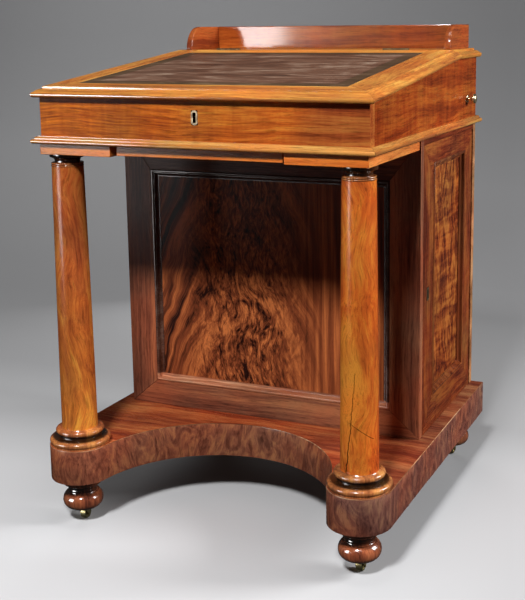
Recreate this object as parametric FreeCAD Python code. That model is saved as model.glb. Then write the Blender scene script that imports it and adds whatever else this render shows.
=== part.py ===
import FreeCAD, Part

import math
import os

# A davenport: a small writing desk with a sloping box on a cupboard and two columns.
# Millimetres. +X is the user's right, +Y the back, +Z up. The origin lies on the floor,
# under the middle of the desk's box.

# ---------------------------------------------------------------- driving dimensions
# Whole desk
desk_height = 865.0
base_width = 633.0
base_depth = 633.0
case_side_setback = 25.0
case_setback = 23.0

# Platform
platform_underside = 84.0
platform_height = 62.0
platform_top_thickness = 14.0
platform_wall = 24.0
drum_radius = 53.5
bay_depth = 234.0
bay_block_end = 110.0

# Feet and casters
foot_inset_back = 44.0
foot_inset_side = 53.5
foot_disc_radius = 34.5
foot_disc_height = 14.0
foot_neck_radius = 26.0
foot_neck_bevel = 4.5
foot_bun_radius = 35.3
foot_bun_height = 30.5
foot_bun_bevel = 4.9
caster_height = 25.0
wheel_diameter = 20.0
wheel_width = 11.0
axle_radius = 1.6
caster_trail = 5.0
caster_plate_side = 27.0
caster_plate_thickness = 2.0
caster_stem_radius = 3.0
fork_width = 17.0
fork_length = 14.0
fork_metal = 2.0
fork_tip = 6.0

# Columns
column_base_radius = 53.4
column_base_height = 30.0
base_ring_height = 9.0
base_ring_bevel = 4.0
base_neck_height = 6.0
base_neck_step = 6.0
base_bead_step = 10.8
shaft_bottom_radius = 31.0
shaft_top_radius = 26.8
shaft_straight_share = 0.33
capital_radius = 29.5
capital_height = 22.0
astragal_radius = 27.3
astragal_height = 6.5
capital_neck_radius = 21.5
capital_neck_height = 4.0
capital_fillet_height = 5.5

# Sloping box
gallery_height = 45.5
case_rear_height = 142.5
lid_slope = 5.9
lid_thickness = 17.0
lid_overhang = 10.5
edge_step = 15.2
edge_nosing = 3.8
edge_fillet = 1.6
edge_quirk = 1.4
strip_depth = 144.0
case_front_thickness = 20.0
case_side_thickness = 16.0
case_back_thickness = 12.0
case_bottom_thickness = 12.0
case_moulding_width = 13.5
case_moulding_height = 12.6
case_nosing = 3.8
case_bead_edge = 9.5
case_bead = 2.4
bearer_thickness = 18.0
bearer_width = 137.0
bearer_pedestal_gap = 9.0
apron_recess = 3.0
apron_height = 16.0
apron_depth = 25.0
apron_gap_left = 6.5
apron_gap_right = 1.5

# Gallery
gallery_inset = 15.5
gallery_thickness = 12.0
gallery_end_length = 133.0

# Writing surface and hinges of the lid
leather_thickness = 1.2
leather_border_front = 53.0
leather_border_side = 61.0
leather_border_rear = 40.0
lid_hinge_spread = 350.0
lid_hinge_length = 51.0
lid_hinge_leaf_height = 13.0
lid_hinge_leaf_thickness = 1.2
lid_knuckle_radius = 2.6
knuckle_share = 0.3
lid_hinge_rise = 0.6

# Locks and keyholes
lock_width = 60.0
lock_height = 36.0
lock_depth = 10.0
lock_bolt_width = 22.0
lock_bolt_thickness = 5.0
lock_bolt_throw = 6.0
lock_bolt_length = 18.0
lock_wall = 1.6
strike_thickness = 1.5
strike_margin = 6.0
keyhole_width = 5.2
keyhole_height = 16.5
keyhole_drop = 28.0
escutcheon_width = 11.5
escutcheon_height = 23.5
escutcheon_thickness = 0.8

# Pen drawer in the right side of the box
pen_drawer_width = 56.0
pen_drawer_height = 57.0
pen_drawer_length = 200.0
pen_drawer_from_back = 63.0
pen_drawer_above_case = 48.5
pen_tray_wall = 5.0
pen_front_thickness = 15.0
knob_radius = 9.2
knob_projection = 19.0
knob_head_height = 7.0
knob_stem_radius = 4.0
knob_spigot_length = 10.0

# Fittings inside the box
inner_board = 6.0
inner_drawer_height = 47.0
inner_drawer_depth = 120.0
inner_drawer_wall = 5.0
inner_front_thickness = 9.0
inner_right_bay = 215.0
inner_knob_radius = 4.5
inner_knob_projection = 10.0
pigeonholes = 3

# Pedestal cupboard
pedestal_depth = 356.0
frame_thickness = 16.0
panel_thickness = 8.0
front_stile = 55.5
front_top_rail = 73.0
front_bottom_rail = 48.0
side_stile = 60.0
side_top_rail = 48.0
side_bottom_rail = 57.0
panel_moulding_width = 13.0
panel_bead = 2.6
pedestal_top_thickness = 12.0
pedestal_bottom_thickness = 14.0
shelf_thickness = 12.0
shelf_heights = (170.0, 335.0)
shelf_batten = 12.0
shelf_setback = 12.0

# Door of the cupboard
door_thickness = 20.0
door_lock_height = 254.0
pivot_plate_length = 45.0
pivot_plate_width = 13.0
pivot_plate_thickness = 2.0
pivot_pin_radius = 3.0
pivot_pin_length = 2.3

# Clearances
running_fit = 0.06
drawer_gap = 0.5
door_gap = 0.5
lid_gap = 0.3
hinge_line_gap = 0.4
knuckle_clearance = 0.7
swivel_gap = 0.3
corner_clearance = 3.5

# ---------------------------------------------------------------- places worked out from them
Vector = FreeCAD.Vector
up = Vector(0, 0, 1)

half_base = base_width / 2
half_case = half_base - case_side_setback
case_width = 2 * half_case
gallery_width = case_width - 2 * gallery_inset
front_y = -base_depth / 2
back_y = base_depth / 2
case_front_y = front_y + case_setback
hinge_y = back_y - strip_depth
pedestal_front_y = back_y - pedestal_depth

platform_top_z = platform_underside + platform_height
strip_top_z = desk_height - gallery_height
strip_underside_z = strip_top_z - lid_thickness
case_underside_z = strip_top_z - case_rear_height
case_floor_z = case_underside_z + case_bottom_thickness
bearer_underside_z = case_underside_z - bearer_thickness

column_x = half_base - drum_radius
column_y = front_y + drum_radius
rear_foot_x = half_base - foot_inset_side
rear_foot_y = back_y - foot_inset_back
foot_spots = {
    "front_left": (-column_x, column_y),
    "front_right": (column_x, column_y),
    "rear_left": (-rear_foot_x, rear_foot_y),
    "rear_right": (rear_foot_x, rear_foot_y),
}

slope = math.radians(lid_slope)
lid_length = (hinge_y - case_front_y + lid_overhang + lid_thickness * math.sin(slope)) / math.cos(slope)

case_inner_x = half_case - case_side_thickness
case_inner_back_y = back_y - case_back_thickness
pedestal_inner_x = half_case - frame_thickness
pedestal_inner_front_y = pedestal_front_y + frame_thickness
pedestal_inner_back_y = back_y - frame_thickness
door_inner_x = half_case - door_thickness
door_bottom_z = platform_top_z + 2 * door_gap
door_top_z = case_underside_z - pedestal_top_thickness - door_gap
door_axis_x = half_case - door_thickness / 2
door_axis_y = pedestal_inner_back_y - door_gap - door_thickness / 2
pen_drawer_y = back_y - pen_drawer_from_back
pen_drawer_z = case_underside_z + pen_drawer_above_case


# ---------------------------------------------------------------- drawing helpers
def box(x, y, z):
    """A block between the two ends given for each direction."""
    return Part.makeBox(x[1] - x[0], y[1] - y[0], z[1] - z[0], Vector(x[0], y[0], z[0]))


def outline(steps, place):
    """A closed wire: a step (a, b) is a straight line to that point, and (c, d, a, b) an arc through c, d."""
    edges = []
    here = steps[0]
    for step in steps[1:] + steps[:1]:
        start = place(*here[-2:])
        end = place(*step[-2:])
        if len(step) == 4:
            edges.append(Part.Arc(start, place(*step[:2]), end).toShape())
        elif start.distanceToPoint(end) > 1e-6:
            edges.append(Part.LineSegment(start, end).toShape())
        here = step
    return Part.Wire(edges)


def prism(steps, place, way):
    """The outline's face pushed along way."""
    return Part.Face(outline(steps, place)).extrude(way)


def in_plan(z):
    """Draws an outline's (x, y) at height z."""
    return lambda x, y: Vector(x, y, z)


def in_side(x):
    """Draws an outline's (y, z) in the plane at x."""
    return lambda y, z: Vector(x, y, z)


def in_front(y):
    """Draws an outline's (x, z) in the plane at y."""
    return lambda x, z: Vector(x, y, z)


def turned(steps, spot):
    """A lathe-turned solid: the outline's (radius, height) spun round the upright axis at spot."""
    return Part.Face(outline(steps, in_front(0))).revolve(Vector(), up, 360).translated(Vector(*spot))


def rod(radius, start, way):
    """A round bar from start along way."""
    return Part.makeCylinder(radius, way.Length, start, way)


def mirrored(shape):
    """The same piece for the desk's other side."""
    return shape.mirror(Vector(), Vector(1, 0, 0))


def upright(shape, corner, right, outward):
    """Stands a flat piece up: its X runs along right, its Y up, and its Z outward, from corner."""
    turn = FreeCAD.Matrix()
    turn.A11, turn.A21, turn.A31 = right
    turn.A12, turn.A22, turn.A32 = up
    turn.A13, turn.A23, turn.A33 = outward
    turn.A14, turn.A24, turn.A34 = corner
    return shape.transformed(turn, True)


def mitred_bar(profile, length, width, height, grow_start, grow_end):
    """A moulding along X, its profile drawn in (Y, Z), its ends mitred: longer or shorter by its width."""
    bar = prism(profile, in_side(-width), Vector(length + 2 * width, 0, 0))
    plan = [
        (0, 0),
        (length, 0),
        (length + grow_end * width, width),
        (-grow_start * width, width),
    ]
    return bar.common(prism(plan, in_plan(0), Vector(0, 0, height)))


# ---------------------------------------------------------------- platform
def bay_circle():
    """Radius and centre y of the concave front's arc, which meets both corner drums tangentially."""
    radius = (column_x**2 + bay_depth**2 - 2 * drum_radius * bay_depth) / (2 * bay_depth)
    return radius, front_y + bay_depth - radius


def platform_outline():
    """The steps from the right side round the serpentine front to the left side."""
    radius, centre_y = bay_circle()
    share = radius / (radius + drum_radius)
    touch_x = share * column_x
    touch_y = centre_y + share * (column_y - centre_y)
    inner_x = column_x - drum_radius * math.cos(math.pi / 4)
    front_of_drum = column_y - drum_radius * math.sin(math.pi / 4)
    outer_x = column_x + drum_radius * math.cos(math.pi / 4)
    return [
        (half_base, column_y),
        (outer_x, front_of_drum, column_x, front_y),
        (inner_x, front_of_drum, touch_x, touch_y),
        (0, front_y + bay_depth, -touch_x, touch_y),
        (-inner_x, front_of_drum, -column_x, front_y),
        (-outer_x, front_of_drum, -half_base, column_y),
    ]


def platform_top():
    steps = platform_outline() + [(-half_base, back_y), (half_base, back_y)]
    z = platform_top_z - platform_top_thickness
    board = prism(steps, in_plan(z), Vector(0, 0, platform_top_thickness))
    return board.cut(pivot_plate(platform_top_z - pivot_plate_thickness))


def platform_front():
    """The curved front wall with both drums, sawn from blocks that are left straight at the back."""
    joint_y = column_y + drum_radius
    wall_y = front_y + bay_depth + platform_wall
    steps = platform_outline() + [
        (-half_base, joint_y),
        (-half_base + platform_wall, joint_y),
        (-bay_block_end, wall_y),
        (bay_block_end, wall_y),
        (half_base - platform_wall, joint_y),
        (half_base, joint_y),
    ]
    height = platform_height - platform_top_thickness
    return prism(steps, in_plan(platform_underside), Vector(0, 0, height))


def platform_sides():
    z = (platform_underside, platform_top_z - platform_top_thickness)
    side = box((half_base - platform_wall, half_base), (column_y + drum_radius, back_y), z)
    return [mirrored(side), side]


def platform_back():
    x = half_base - platform_wall
    z = (platform_underside, platform_top_z - platform_top_thickness)
    return box((-x, x), (back_y - platform_wall, back_y), z)


def foot_blocks():
    """Corner blocks behind the walls that the rear feet are screwed to."""
    z = (platform_underside, platform_top_z - platform_top_thickness)
    x = (rear_foot_x - foot_disc_radius, half_base - platform_wall)
    block = box(x, (rear_foot_y - foot_disc_radius, back_y - platform_wall), z)
    return [mirrored(block), block]


# ---------------------------------------------------------------- feet and casters
def bun_foot(x, y):
    """A turned foot: disc, necked waist and squat bun, each round turned as a straight bevel."""
    bun_top = caster_height + foot_bun_height
    disc_bottom = platform_underside - foot_disc_height
    seat_radius = foot_bun_radius - foot_bun_bevel
    steps = [
        (0, caster_height),
        (seat_radius, caster_height),
        (foot_bun_radius, caster_height + foot_bun_bevel),
        (foot_bun_radius, bun_top - foot_bun_bevel),
        (seat_radius, bun_top),
        (foot_neck_radius, bun_top + foot_neck_bevel),
        (foot_neck_radius, disc_bottom),
        (foot_disc_radius, disc_bottom),
        (foot_disc_radius, platform_underside),
        (0, platform_underside),
    ]
    return turned(steps, (x, y, 0))


def caster_plate(x, y):
    """The square plate screwed under the foot. The fork's stem is riveted through it."""
    half = caster_plate_side / 2
    z = (caster_height - caster_plate_thickness, caster_height)
    bore = rod(caster_stem_radius + running_fit, Vector(0, 0, z[0]), up * caster_plate_thickness)
    return box((-half, half), (-half, half), z).cut(bore).translated(Vector(x, y, 0))


def caster_fork(x, y):
    """A bent strap with its stem, and the axle riveted through both cheeks."""
    top = caster_height - caster_plate_thickness - swivel_gap
    axle_z = wheel_diameter / 2
    half = fork_width / 2
    inner = half - fork_metal
    rear = fork_length / 2
    strap = box((-half, half), (-rear, rear), (axle_z - fork_tip / 2, top))
    strap = strap.cut(box((-inner, inner), (-rear, rear), (0, top - fork_metal)))
    waste_steps = [
        (-rear, 0),
        (caster_trail - fork_tip / 2, 0),
        (caster_trail - fork_tip / 2, axle_z),
        (-rear, top - fork_metal),
    ]
    strap = strap.cut(prism(waste_steps, in_side(-half), Vector(fork_width, 0, 0)))
    stem = rod(caster_stem_radius, Vector(0, 0, top), up * (caster_plate_thickness + swivel_gap / 2))
    axle = rod(axle_radius, Vector(-inner, caster_trail, axle_z), Vector(2 * inner, 0, 0))
    return strap.fuse([stem, axle]).removeSplitter().translated(Vector(x, y, 0))


def caster_wheel(x, y):
    start = Vector(x - wheel_width / 2, y + caster_trail, wheel_diameter / 2)
    disc = rod(wheel_diameter / 2, start, Vector(wheel_width, 0, 0))
    return disc.cut(rod(axle_radius + running_fit, start, Vector(wheel_width, 0, 0)))


# ---------------------------------------------------------------- columns
def column_base(x):
    """A turned base: bevelled ring, neck and the smaller ring that the shaft stands on."""
    ring_top = base_ring_height + base_ring_bevel
    neck_radius = shaft_bottom_radius + base_neck_step
    bead_radius = shaft_bottom_radius + base_bead_step
    neck_top = ring_top + base_neck_height
    steps = [
        (0, 0),
        (column_base_radius, 0),
        (column_base_radius, base_ring_height),
        (column_base_radius - base_ring_bevel, ring_top),
        (neck_radius, ring_top),
        (neck_radius, neck_top),
        (bead_radius, neck_top),
        (bead_radius, column_base_height),
        (0, column_base_height),
    ]
    return turned(steps, (x, column_y, platform_top_z))


def column_shaft(x):
    """The shaft: its lower third stands straight, and the rest tapers to the capital."""
    bottom = platform_top_z + column_base_height
    top = bearer_underside_z - capital_height
    straight_top = bottom + shaft_straight_share * (top - bottom)
    steps = [
        (0, bottom),
        (shaft_bottom_radius, bottom),
        (shaft_bottom_radius, straight_top),
        (shaft_top_radius, top),
        (0, top),
    ]
    return turned(steps, (x, column_y, 0))


def capital(x):
    """A turned capital: astragal, neck and flared echinus under the bearer."""
    neck_top = astragal_height + capital_neck_height
    fillet_bottom = capital_height - capital_fillet_height
    steps = [
        (0, 0),
        (astragal_radius, 0),
        (astragal_radius, astragal_height),
        (capital_neck_radius, astragal_height),
        (capital_neck_radius, neck_top),
        (capital_radius, fillet_bottom),
        (capital_radius, capital_height),
        (0, capital_height),
    ]
    return turned(steps, (x, column_y, bearer_underside_z - capital_height))


# ---------------------------------------------------------------- box: carcase
def lid_underside(y):
    """Height of the closed lid's underside at y."""
    return strip_top_z - lid_thickness / math.cos(slope) - (hinge_y - y) * math.tan(slope)


def keyhole(centre, way):
    """The key's slot, cut along way from centre."""
    side = way.cross(up).normalize() * keyhole_width
    low = centre - side / 2 - up * keyhole_height / 2
    high = low + up * keyhole_height
    slot = Part.makePolygon([low, low + side, high + side, high, low])
    return Part.Face(slot).extrude(way)


def escutcheon(centre, outward):
    """The oval brass plate round a keyhole."""
    half_width = escutcheon_width / 2
    side = outward.cross(up).normalize() * half_width
    rise = up * (escutcheon_height / 2 - half_width)
    low = centre - rise
    high = centre + rise
    rim = Part.Wire(
        [
            Part.LineSegment(low + side, high + side).toShape(),
            Part.Arc(high + side, high + up * half_width, high - side).toShape(),
            Part.LineSegment(high - side, low - side).toShape(),
            Part.Arc(low - side, low - up * half_width, low + side).toShape(),
        ]
    )
    way = outward * escutcheon_thickness
    return Part.Face(rim).extrude(way).cut(keyhole(centre, way))


desk_keyhole = Vector(0, case_front_y, lid_underside(case_front_y) - keyhole_drop)
desk_lock_y = case_front_y + case_front_thickness - lock_depth


def case_front():
    top_front = lid_underside(case_front_y) - lid_gap
    y_back = case_front_y + case_front_thickness
    steps = [
        (case_front_y, case_underside_z),
        (y_back, case_underside_z),
        (y_back, lid_underside(y_back) - lid_gap),
        (case_front_y, top_front),
    ]
    board = prism(steps, in_side(-half_case), Vector(case_width, 0, 0))
    seat = desk_lock_body().fuse(desk_lock_body().translated(Vector(0, 0, lock_height)))
    board = board.cut(seat)
    return board.cut(keyhole(desk_keyhole, Vector(0, case_front_thickness, 0)))


def case_side():
    """The plain left side, reaching from the front board to the back edge."""
    y_front = case_front_y + case_front_thickness
    steps = [
        (y_front, case_underside_z),
        (back_y, case_underside_z),
        (back_y, strip_underside_z),
        (hinge_y, strip_underside_z),
        (hinge_y, lid_underside(hinge_y) - lid_gap),
        (y_front, lid_underside(y_front) - lid_gap),
    ]
    return prism(steps, in_side(-half_case), Vector(case_side_thickness, 0, 0))


def case_side_right():
    """The right side, with the pen drawer's opening."""
    side = mirrored(case_side())
    half_width = pen_drawer_width / 2 + drawer_gap
    half_height = pen_drawer_height / 2 + drawer_gap
    hole = box(
        (case_inner_x - 1, half_case + 1),
        (pen_drawer_y - half_width, pen_drawer_y + half_width),
        (pen_drawer_z - half_height, pen_drawer_z + half_height),
    )
    return side.cut(hole)


def case_back():
    z = (case_underside_z, strip_underside_z)
    return box((-case_inner_x, case_inner_x), (case_inner_back_y, back_y), z)


def case_bottom():
    y = (case_front_y + case_front_thickness, case_inner_back_y)
    return box((-case_inner_x, case_inner_x), y, (case_underside_z, case_floor_z))


def case_moulding():
    """Bead over a half-round nosing, mitred round the front and both sides of the box."""
    width = case_moulding_width
    height = case_moulding_height
    nosing_edge = width - case_nosing
    profile = [
        (0, 0),
        (nosing_edge, 0),
        (width, case_nosing, nosing_edge, 2 * case_nosing),
        (case_bead_edge, 2 * case_nosing),
        (case_bead_edge, 2 * case_nosing + case_bead),
        (case_bead_edge - case_bead, height),
        (0, height),
    ]
    z = case_underside_z
    front = mitred_bar(profile, case_width, width, height, 1, 1)
    front.rotate(Vector(), up, 180)
    front.translate(Vector(half_case, case_front_y, z))
    side = mitred_bar(profile, back_y - case_front_y, width, height, 1, 0)
    side = side.mirror(Vector(), Vector(0, 1, 0))
    side.rotate(Vector(), up, 90)
    side.translate(Vector(half_case, case_front_y, z))
    return [front, mirrored(side), side]


def bearers():
    """The two front-to-back boards that carry the box on the column capitals."""
    y = (case_front_y, pedestal_front_y - bearer_pedestal_gap)
    bearer = box((half_case - bearer_width, half_case), y, (bearer_underside_z, case_underside_z))
    return [mirrored(bearer), bearer]


def apron_rail():
    x = half_case - bearer_width
    y = case_front_y + apron_recess
    z = (case_underside_z - apron_height, case_underside_z)
    return box((apron_gap_left - x, x - apron_gap_right), (y, y + apron_depth), z)


# ---------------------------------------------------------------- box: top strip and gallery
def edge_profile(inner):
    """A board's section with the moulded edge: (outward from the step line, height above the underside)."""
    nosing_edge = edge_step - edge_nosing
    hollow_end = nosing_edge - edge_fillet
    hollow_bottom = 2 * edge_nosing + edge_fillet
    return [
        (inner, 0),
        (nosing_edge, 0),
        (edge_step, edge_nosing, nosing_edge, 2 * edge_nosing),
        (hollow_end, 2 * edge_nosing),
        (hollow_end, hollow_bottom),
        (edge_fillet, lid_thickness - edge_quirk),
        (0, lid_thickness - edge_quirk),
        (0, lid_thickness),
        (inner, lid_thickness),
    ]


def moulded_board(half_width, y_front, y_rear, front_moulded):
    """A flat board with the moulded edge on its sides, and on its front too when that is asked."""
    step_x = half_width - edge_step
    profile = edge_profile(-step_x)
    section = [tuple(step_x + v if i % 2 == 0 else v for i, v in enumerate(s)) for s in profile]
    right_half = prism(section, in_front(y_front), Vector(0, y_rear - y_front, 0))
    board = right_half.fuse(mirrored(right_half)).removeSplitter()
    if not front_moulded:
        return board
    step_y = y_front + edge_step
    profile = edge_profile(step_y - y_rear)
    section = [tuple(step_y - v if i % 2 == 0 else v for i, v in enumerate(s)) for s in profile]
    return prism(section, in_side(-half_width), Vector(2 * half_width, 0, 0)).common(board)


def knuckle_room():
    """The square groove along each lid hinge that its knuckles lie in."""
    reach = lid_knuckle_radius + knuckle_clearance
    z = (strip_top_z + lid_hinge_rise - reach, strip_top_z + lid_hinge_rise + reach)
    half = lid_hinge_length / 2 + knuckle_clearance
    y = (hinge_y - reach, hinge_y + reach)
    return [box((x - half, x + half), y, z) for x in (-lid_hinge_spread / 2, lid_hinge_spread / 2)]


def top_strip():
    half_width = half_case + lid_overhang
    board = moulded_board(half_width, hinge_y + hinge_line_gap, back_y, False)
    board.translate(Vector(0, 0, strip_underside_z))
    return board.cut(knuckle_room() + hinge_leaf_blocks(1))


def gallery_back():
    x = gallery_width / 2 - gallery_thickness
    y = (back_y - gallery_thickness, back_y)
    return box((-x, x), y, (strip_top_z, desk_height))


def gallery_end():
    """One end board, its front a quarter round."""
    y_front = back_y - gallery_end_length
    round_y = y_front + gallery_height
    corner = gallery_height * math.cos(math.pi / 4)
    steps = [
        (y_front, strip_top_z),
        (back_y, strip_top_z),
        (back_y, desk_height),
        (round_y, desk_height),
        (round_y - corner, strip_top_z + corner, y_front, strip_top_z),
    ]
    x = gallery_width / 2 - gallery_thickness
    return prism(steps, in_side(x), Vector(gallery_thickness, 0, 0))


# ---------------------------------------------------------------- lid
def on_slope(shape):
    """Places a piece drawn flat, with its top at z 0 and the hinge line at y 0, on the closed lid's slope."""
    shape = shape.copy()
    shape.rotate(Vector(), Vector(1, 0, 0), lid_slope)
    return shape.translated(Vector(0, hinge_y, strip_top_z))


def leather_box(depth):
    half_width = half_case + lid_overhang - leather_border_side
    y = (leather_border_front - lid_length, -leather_border_rear)
    return box((-half_width, half_width), y, (-depth, 0))


def lid_board():
    half_width = half_case + lid_overhang
    board = moulded_board(half_width, -lid_length, 0, True)
    board.translate(Vector(0, 0, -lid_thickness))
    board = on_slope(board.cut(leather_box(leather_thickness)))
    beyond = box(
        (-case_width, case_width),
        (hinge_y - hinge_line_gap, back_y),
        (case_underside_z, desk_height),
    )
    board = board.cut(beyond)
    bolt_room = desk_lock_bolt(corner_clearance / 5).translated(up * (lock_bolt_throw + 1))
    return board.cut(knuckle_room() + hinge_leaf_blocks(-1) + [strike_block(), bolt_room])


def writing_leather():
    return on_slope(leather_box(leather_thickness))


def hinge_leaf_blocks(side):
    """The two flat leaves on one side of the hinge line: side is 1 on the strip and -1 on the lid."""
    near = hinge_line_gap
    far = near + lid_hinge_leaf_thickness
    y = sorted((hinge_y + side * near, hinge_y + side * far))
    z = (strip_top_z - lid_hinge_leaf_height, strip_top_z + lid_hinge_rise)
    return [
        box((x - lid_hinge_length / 2, x + lid_hinge_length / 2), y, z)
        for x in (-lid_hinge_spread / 2, lid_hinge_spread / 2)
    ]


def knuckle(middle, share):
    """A stretch of one hinge's barrel, given as its start and end share of the hinge's length."""
    start = Vector(middle + (share[0] - 0.5) * lid_hinge_length, hinge_y, strip_top_z + lid_hinge_rise)
    return rod(lid_knuckle_radius, start, Vector((share[1] - share[0]) * lid_hinge_length, 0, 0))


def hinge_leaves(side, own, others):
    """The leaves on one side, each with its own knuckles and with room left for the others."""
    leaves = []
    for block, middle in zip(hinge_leaf_blocks(side), (-lid_hinge_spread / 2, lid_hinge_spread / 2)):
        for share in others:
            first = middle + (share[0] - 0.5) * lid_hinge_length - swivel_gap
            last = middle + (share[1] - 0.5) * lid_hinge_length + swivel_gap
            reach = lid_knuckle_radius + swivel_gap
            z = (strip_top_z + lid_hinge_rise - reach, strip_top_z + lid_hinge_rise)
            block = block.cut(box((first, last), (hinge_y - reach, hinge_y + reach), z))
        leaves.append(block.fuse([knuckle(middle, share) for share in own]).removeSplitter())
    return leaves


def lid_hinge_leaves():
    """The leaves let into the lid's rear edge, with the outer knuckles of each barrel."""
    own = ((0, knuckle_share), (1 - knuckle_share, 1))
    return hinge_leaves(-1, own, ((knuckle_share, 1 - knuckle_share),))


def strip_hinge_leaves():
    """The leaves let into the strip's front edge, with the middle knuckle of each barrel."""
    gap = swivel_gap / lid_hinge_length
    own = ((knuckle_share + gap, 1 - knuckle_share - gap),)
    return hinge_leaves(1, own, ((0, knuckle_share), (1 - knuckle_share, 1)))


def strike_block():
    """The strike plate's block under the lid, over the lock."""
    half_width = lock_bolt_width / 2 + strike_margin
    middle_y = desk_lock_y + lock_depth / 2
    half_depth = lock_depth / 2 + 1
    first_y = (middle_y - half_depth - hinge_y) / math.cos(slope)
    last_y = (middle_y + half_depth - hinge_y) / math.cos(slope)
    z = (-lid_thickness, strike_thickness - lid_thickness)
    return on_slope(box((-half_width, half_width), (first_y, last_y), z))


def lid_lock_strike():
    bolt_room = desk_lock_bolt(corner_clearance / 5).translated(up * (lock_bolt_throw + 1))
    return strike_block().cut(bolt_room)


# ---------------------------------------------------------------- locks
def desk_lock_body():
    """The block that the box's lock fills in the front board, flush with the board's inner face."""
    half_width = lock_width / 2
    top = lid_underside(desk_lock_y) - lid_gap
    y = (desk_lock_y, desk_lock_y + lock_depth)
    return box((-half_width, half_width), y, (top - lock_height, top))


def desk_lock_bolt(grow=0.0):
    """The bolt, drawn back level with the lock's top plate."""
    half_width = lock_bolt_width / 2 + grow
    half_depth = lock_bolt_thickness / 2 + grow
    middle_y = desk_lock_y + lock_depth / 2
    top = lid_underside(desk_lock_y) - lid_gap - strike_thickness / 5
    z = (top - lock_bolt_length - grow, top + grow)
    return box((-half_width, half_width), (middle_y - half_depth, middle_y + half_depth), z)


def desk_lock():
    body = desk_lock_body()
    channel = desk_lock_bolt(swivel_gap)
    channel = channel.fuse(channel.translated(up * lock_bolt_throw))
    key_way = keyhole(desk_keyhole, Vector(0, case_front_thickness - lock_wall, 0))
    return body.cut(channel).cut(key_way)


door_lock_z = platform_top_z + door_lock_height
door_keyhole = Vector(half_case, pedestal_inner_front_y + keyhole_drop, door_lock_z)


def door_lock_body():
    """The block that the door's lock fills, flush with the door's inner face and front edge."""
    y = (pedestal_inner_front_y + door_gap, pedestal_inner_front_y + door_gap + lock_height)
    half_width = lock_width / 2
    z = (door_lock_z - half_width, door_lock_z + half_width)
    return box((door_inner_x, door_inner_x + lock_depth), y, z)


def door_lock_bolt(grow=0.0):
    """The bolt, drawn back level with the lock's front plate."""
    half_width = lock_bolt_width / 2 + grow
    half_depth = lock_bolt_thickness / 2 + grow
    middle_x = door_inner_x + lock_depth / 2
    first_y = pedestal_inner_front_y + door_gap + strike_thickness / 5
    y = (first_y - grow, first_y + lock_bolt_length + grow)
    z = (door_lock_z - half_width, door_lock_z + half_width)
    return box((middle_x - half_depth, middle_x + half_depth), y, z)


def door_lock():
    channel = door_lock_bolt(swivel_gap)
    channel = channel.fuse(channel.translated(Vector(0, -lock_bolt_throw, 0)))
    key_way = keyhole(door_keyhole, Vector(lock_wall - door_thickness, 0, 0))
    return door_lock_body().cut(channel).cut(key_way)


# ---------------------------------------------------------------- pen drawer
def pen_drawer():
    """The drawer's front with its tray: floor, sides and end behind it."""
    half_width = pen_drawer_width / 2
    half_height = pen_drawer_height / 2
    y = (pen_drawer_y - half_width, pen_drawer_y + half_width)
    z = (pen_drawer_z - half_height, pen_drawer_z + half_height)
    front_x = half_case - pen_front_thickness
    end_x = half_case - pen_drawer_length
    front = box((front_x, half_case), y, z)
    middle = Vector(half_case, pen_drawer_y, pen_drawer_z)
    front = front.cut(rod(knob_stem_radius, middle, Vector(-knob_spigot_length, 0, 0)))
    tray = box((end_x, front_x), y, z)
    room = box(
        (end_x + pen_tray_wall, front_x),
        (y[0] + pen_tray_wall, y[1] - pen_tray_wall),
        (z[0] + pen_tray_wall, z[1] + 1),
    )
    return [front, tray.cut(room)]


def pen_drawer_knob():
    """A turned brass knob, with its spigot in the drawer's front."""
    steps = [
        (0, -knob_spigot_length),
        (knob_stem_radius, -knob_spigot_length),
        (knob_stem_radius, knob_projection - knob_head_height),
        (knob_radius, knob_projection - knob_head_height),
        (knob_radius, knob_projection),
        (0, knob_projection),
    ]
    knob = turned(steps, (0, 0, 0))
    knob.rotate(Vector(), Vector(0, 1, 0), 90)
    return knob.translated(Vector(half_case, pen_drawer_y, pen_drawer_z))


def inner_wall_x():
    """The partition's face towards the right bay."""
    return case_inner_x - inner_right_bay


def pen_drawer_housing():
    """Runner, guide wall, rear guide and kicker round the pen drawer, behind the right bay."""
    half_width = pen_drawer_width / 2 + drawer_gap
    half_height = pen_drawer_height / 2 + drawer_gap
    x = (inner_wall_x(), case_inner_x)
    low = pen_drawer_z - half_height
    high = pen_drawer_z + half_height
    y = (pen_drawer_y - half_width, pen_drawer_y + half_width)
    runner = box(x, y, (case_floor_z, low))
    wall = box(x, (y[0] - inner_board, y[0]), (case_floor_z, strip_underside_z))
    guide = box(x, (y[1], case_inner_back_y), (case_floor_z, low + inner_board))
    kicker = box(x, (y[0], case_inner_back_y), (high, high + inner_board))
    return [runner, wall, guide, kicker]


# ---------------------------------------------------------------- fittings inside the box
def drawer_bay_edges():
    """The ends in x of the two small drawers' bays, left to right."""
    left = -case_inner_x
    right = inner_wall_x() - inner_board
    middle = (left + right) / 2
    return [(left, middle - inner_board / 2), (middle + inner_board / 2, right)]


def pigeonhole_rack():
    """Partition, drawer divider, shelf and the uprights between the pigeonholes."""
    y = (hinge_y + corner_clearance, case_inner_back_y)
    left, right = drawer_bay_edges()
    shelf_z = case_floor_z + inner_drawer_height + 2 * drawer_gap
    partition = box((right[1], right[1] + inner_board), y, (case_floor_z, strip_underside_z))
    divider = box((left[1], right[0]), y, (case_floor_z, shelf_z))
    shelf = box((left[0], right[1]), y, (shelf_z, shelf_z + inner_board))
    pieces = [partition, divider, shelf]
    for i in range(1, pigeonholes):
        x = left[0] + i * (right[1] - left[0]) / pigeonholes
        z = (shelf_z + inner_board, strip_underside_z)
        pieces.append(box((x - inner_board / 2, x + inner_board / 2), y, z))
    return pieces


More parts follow.
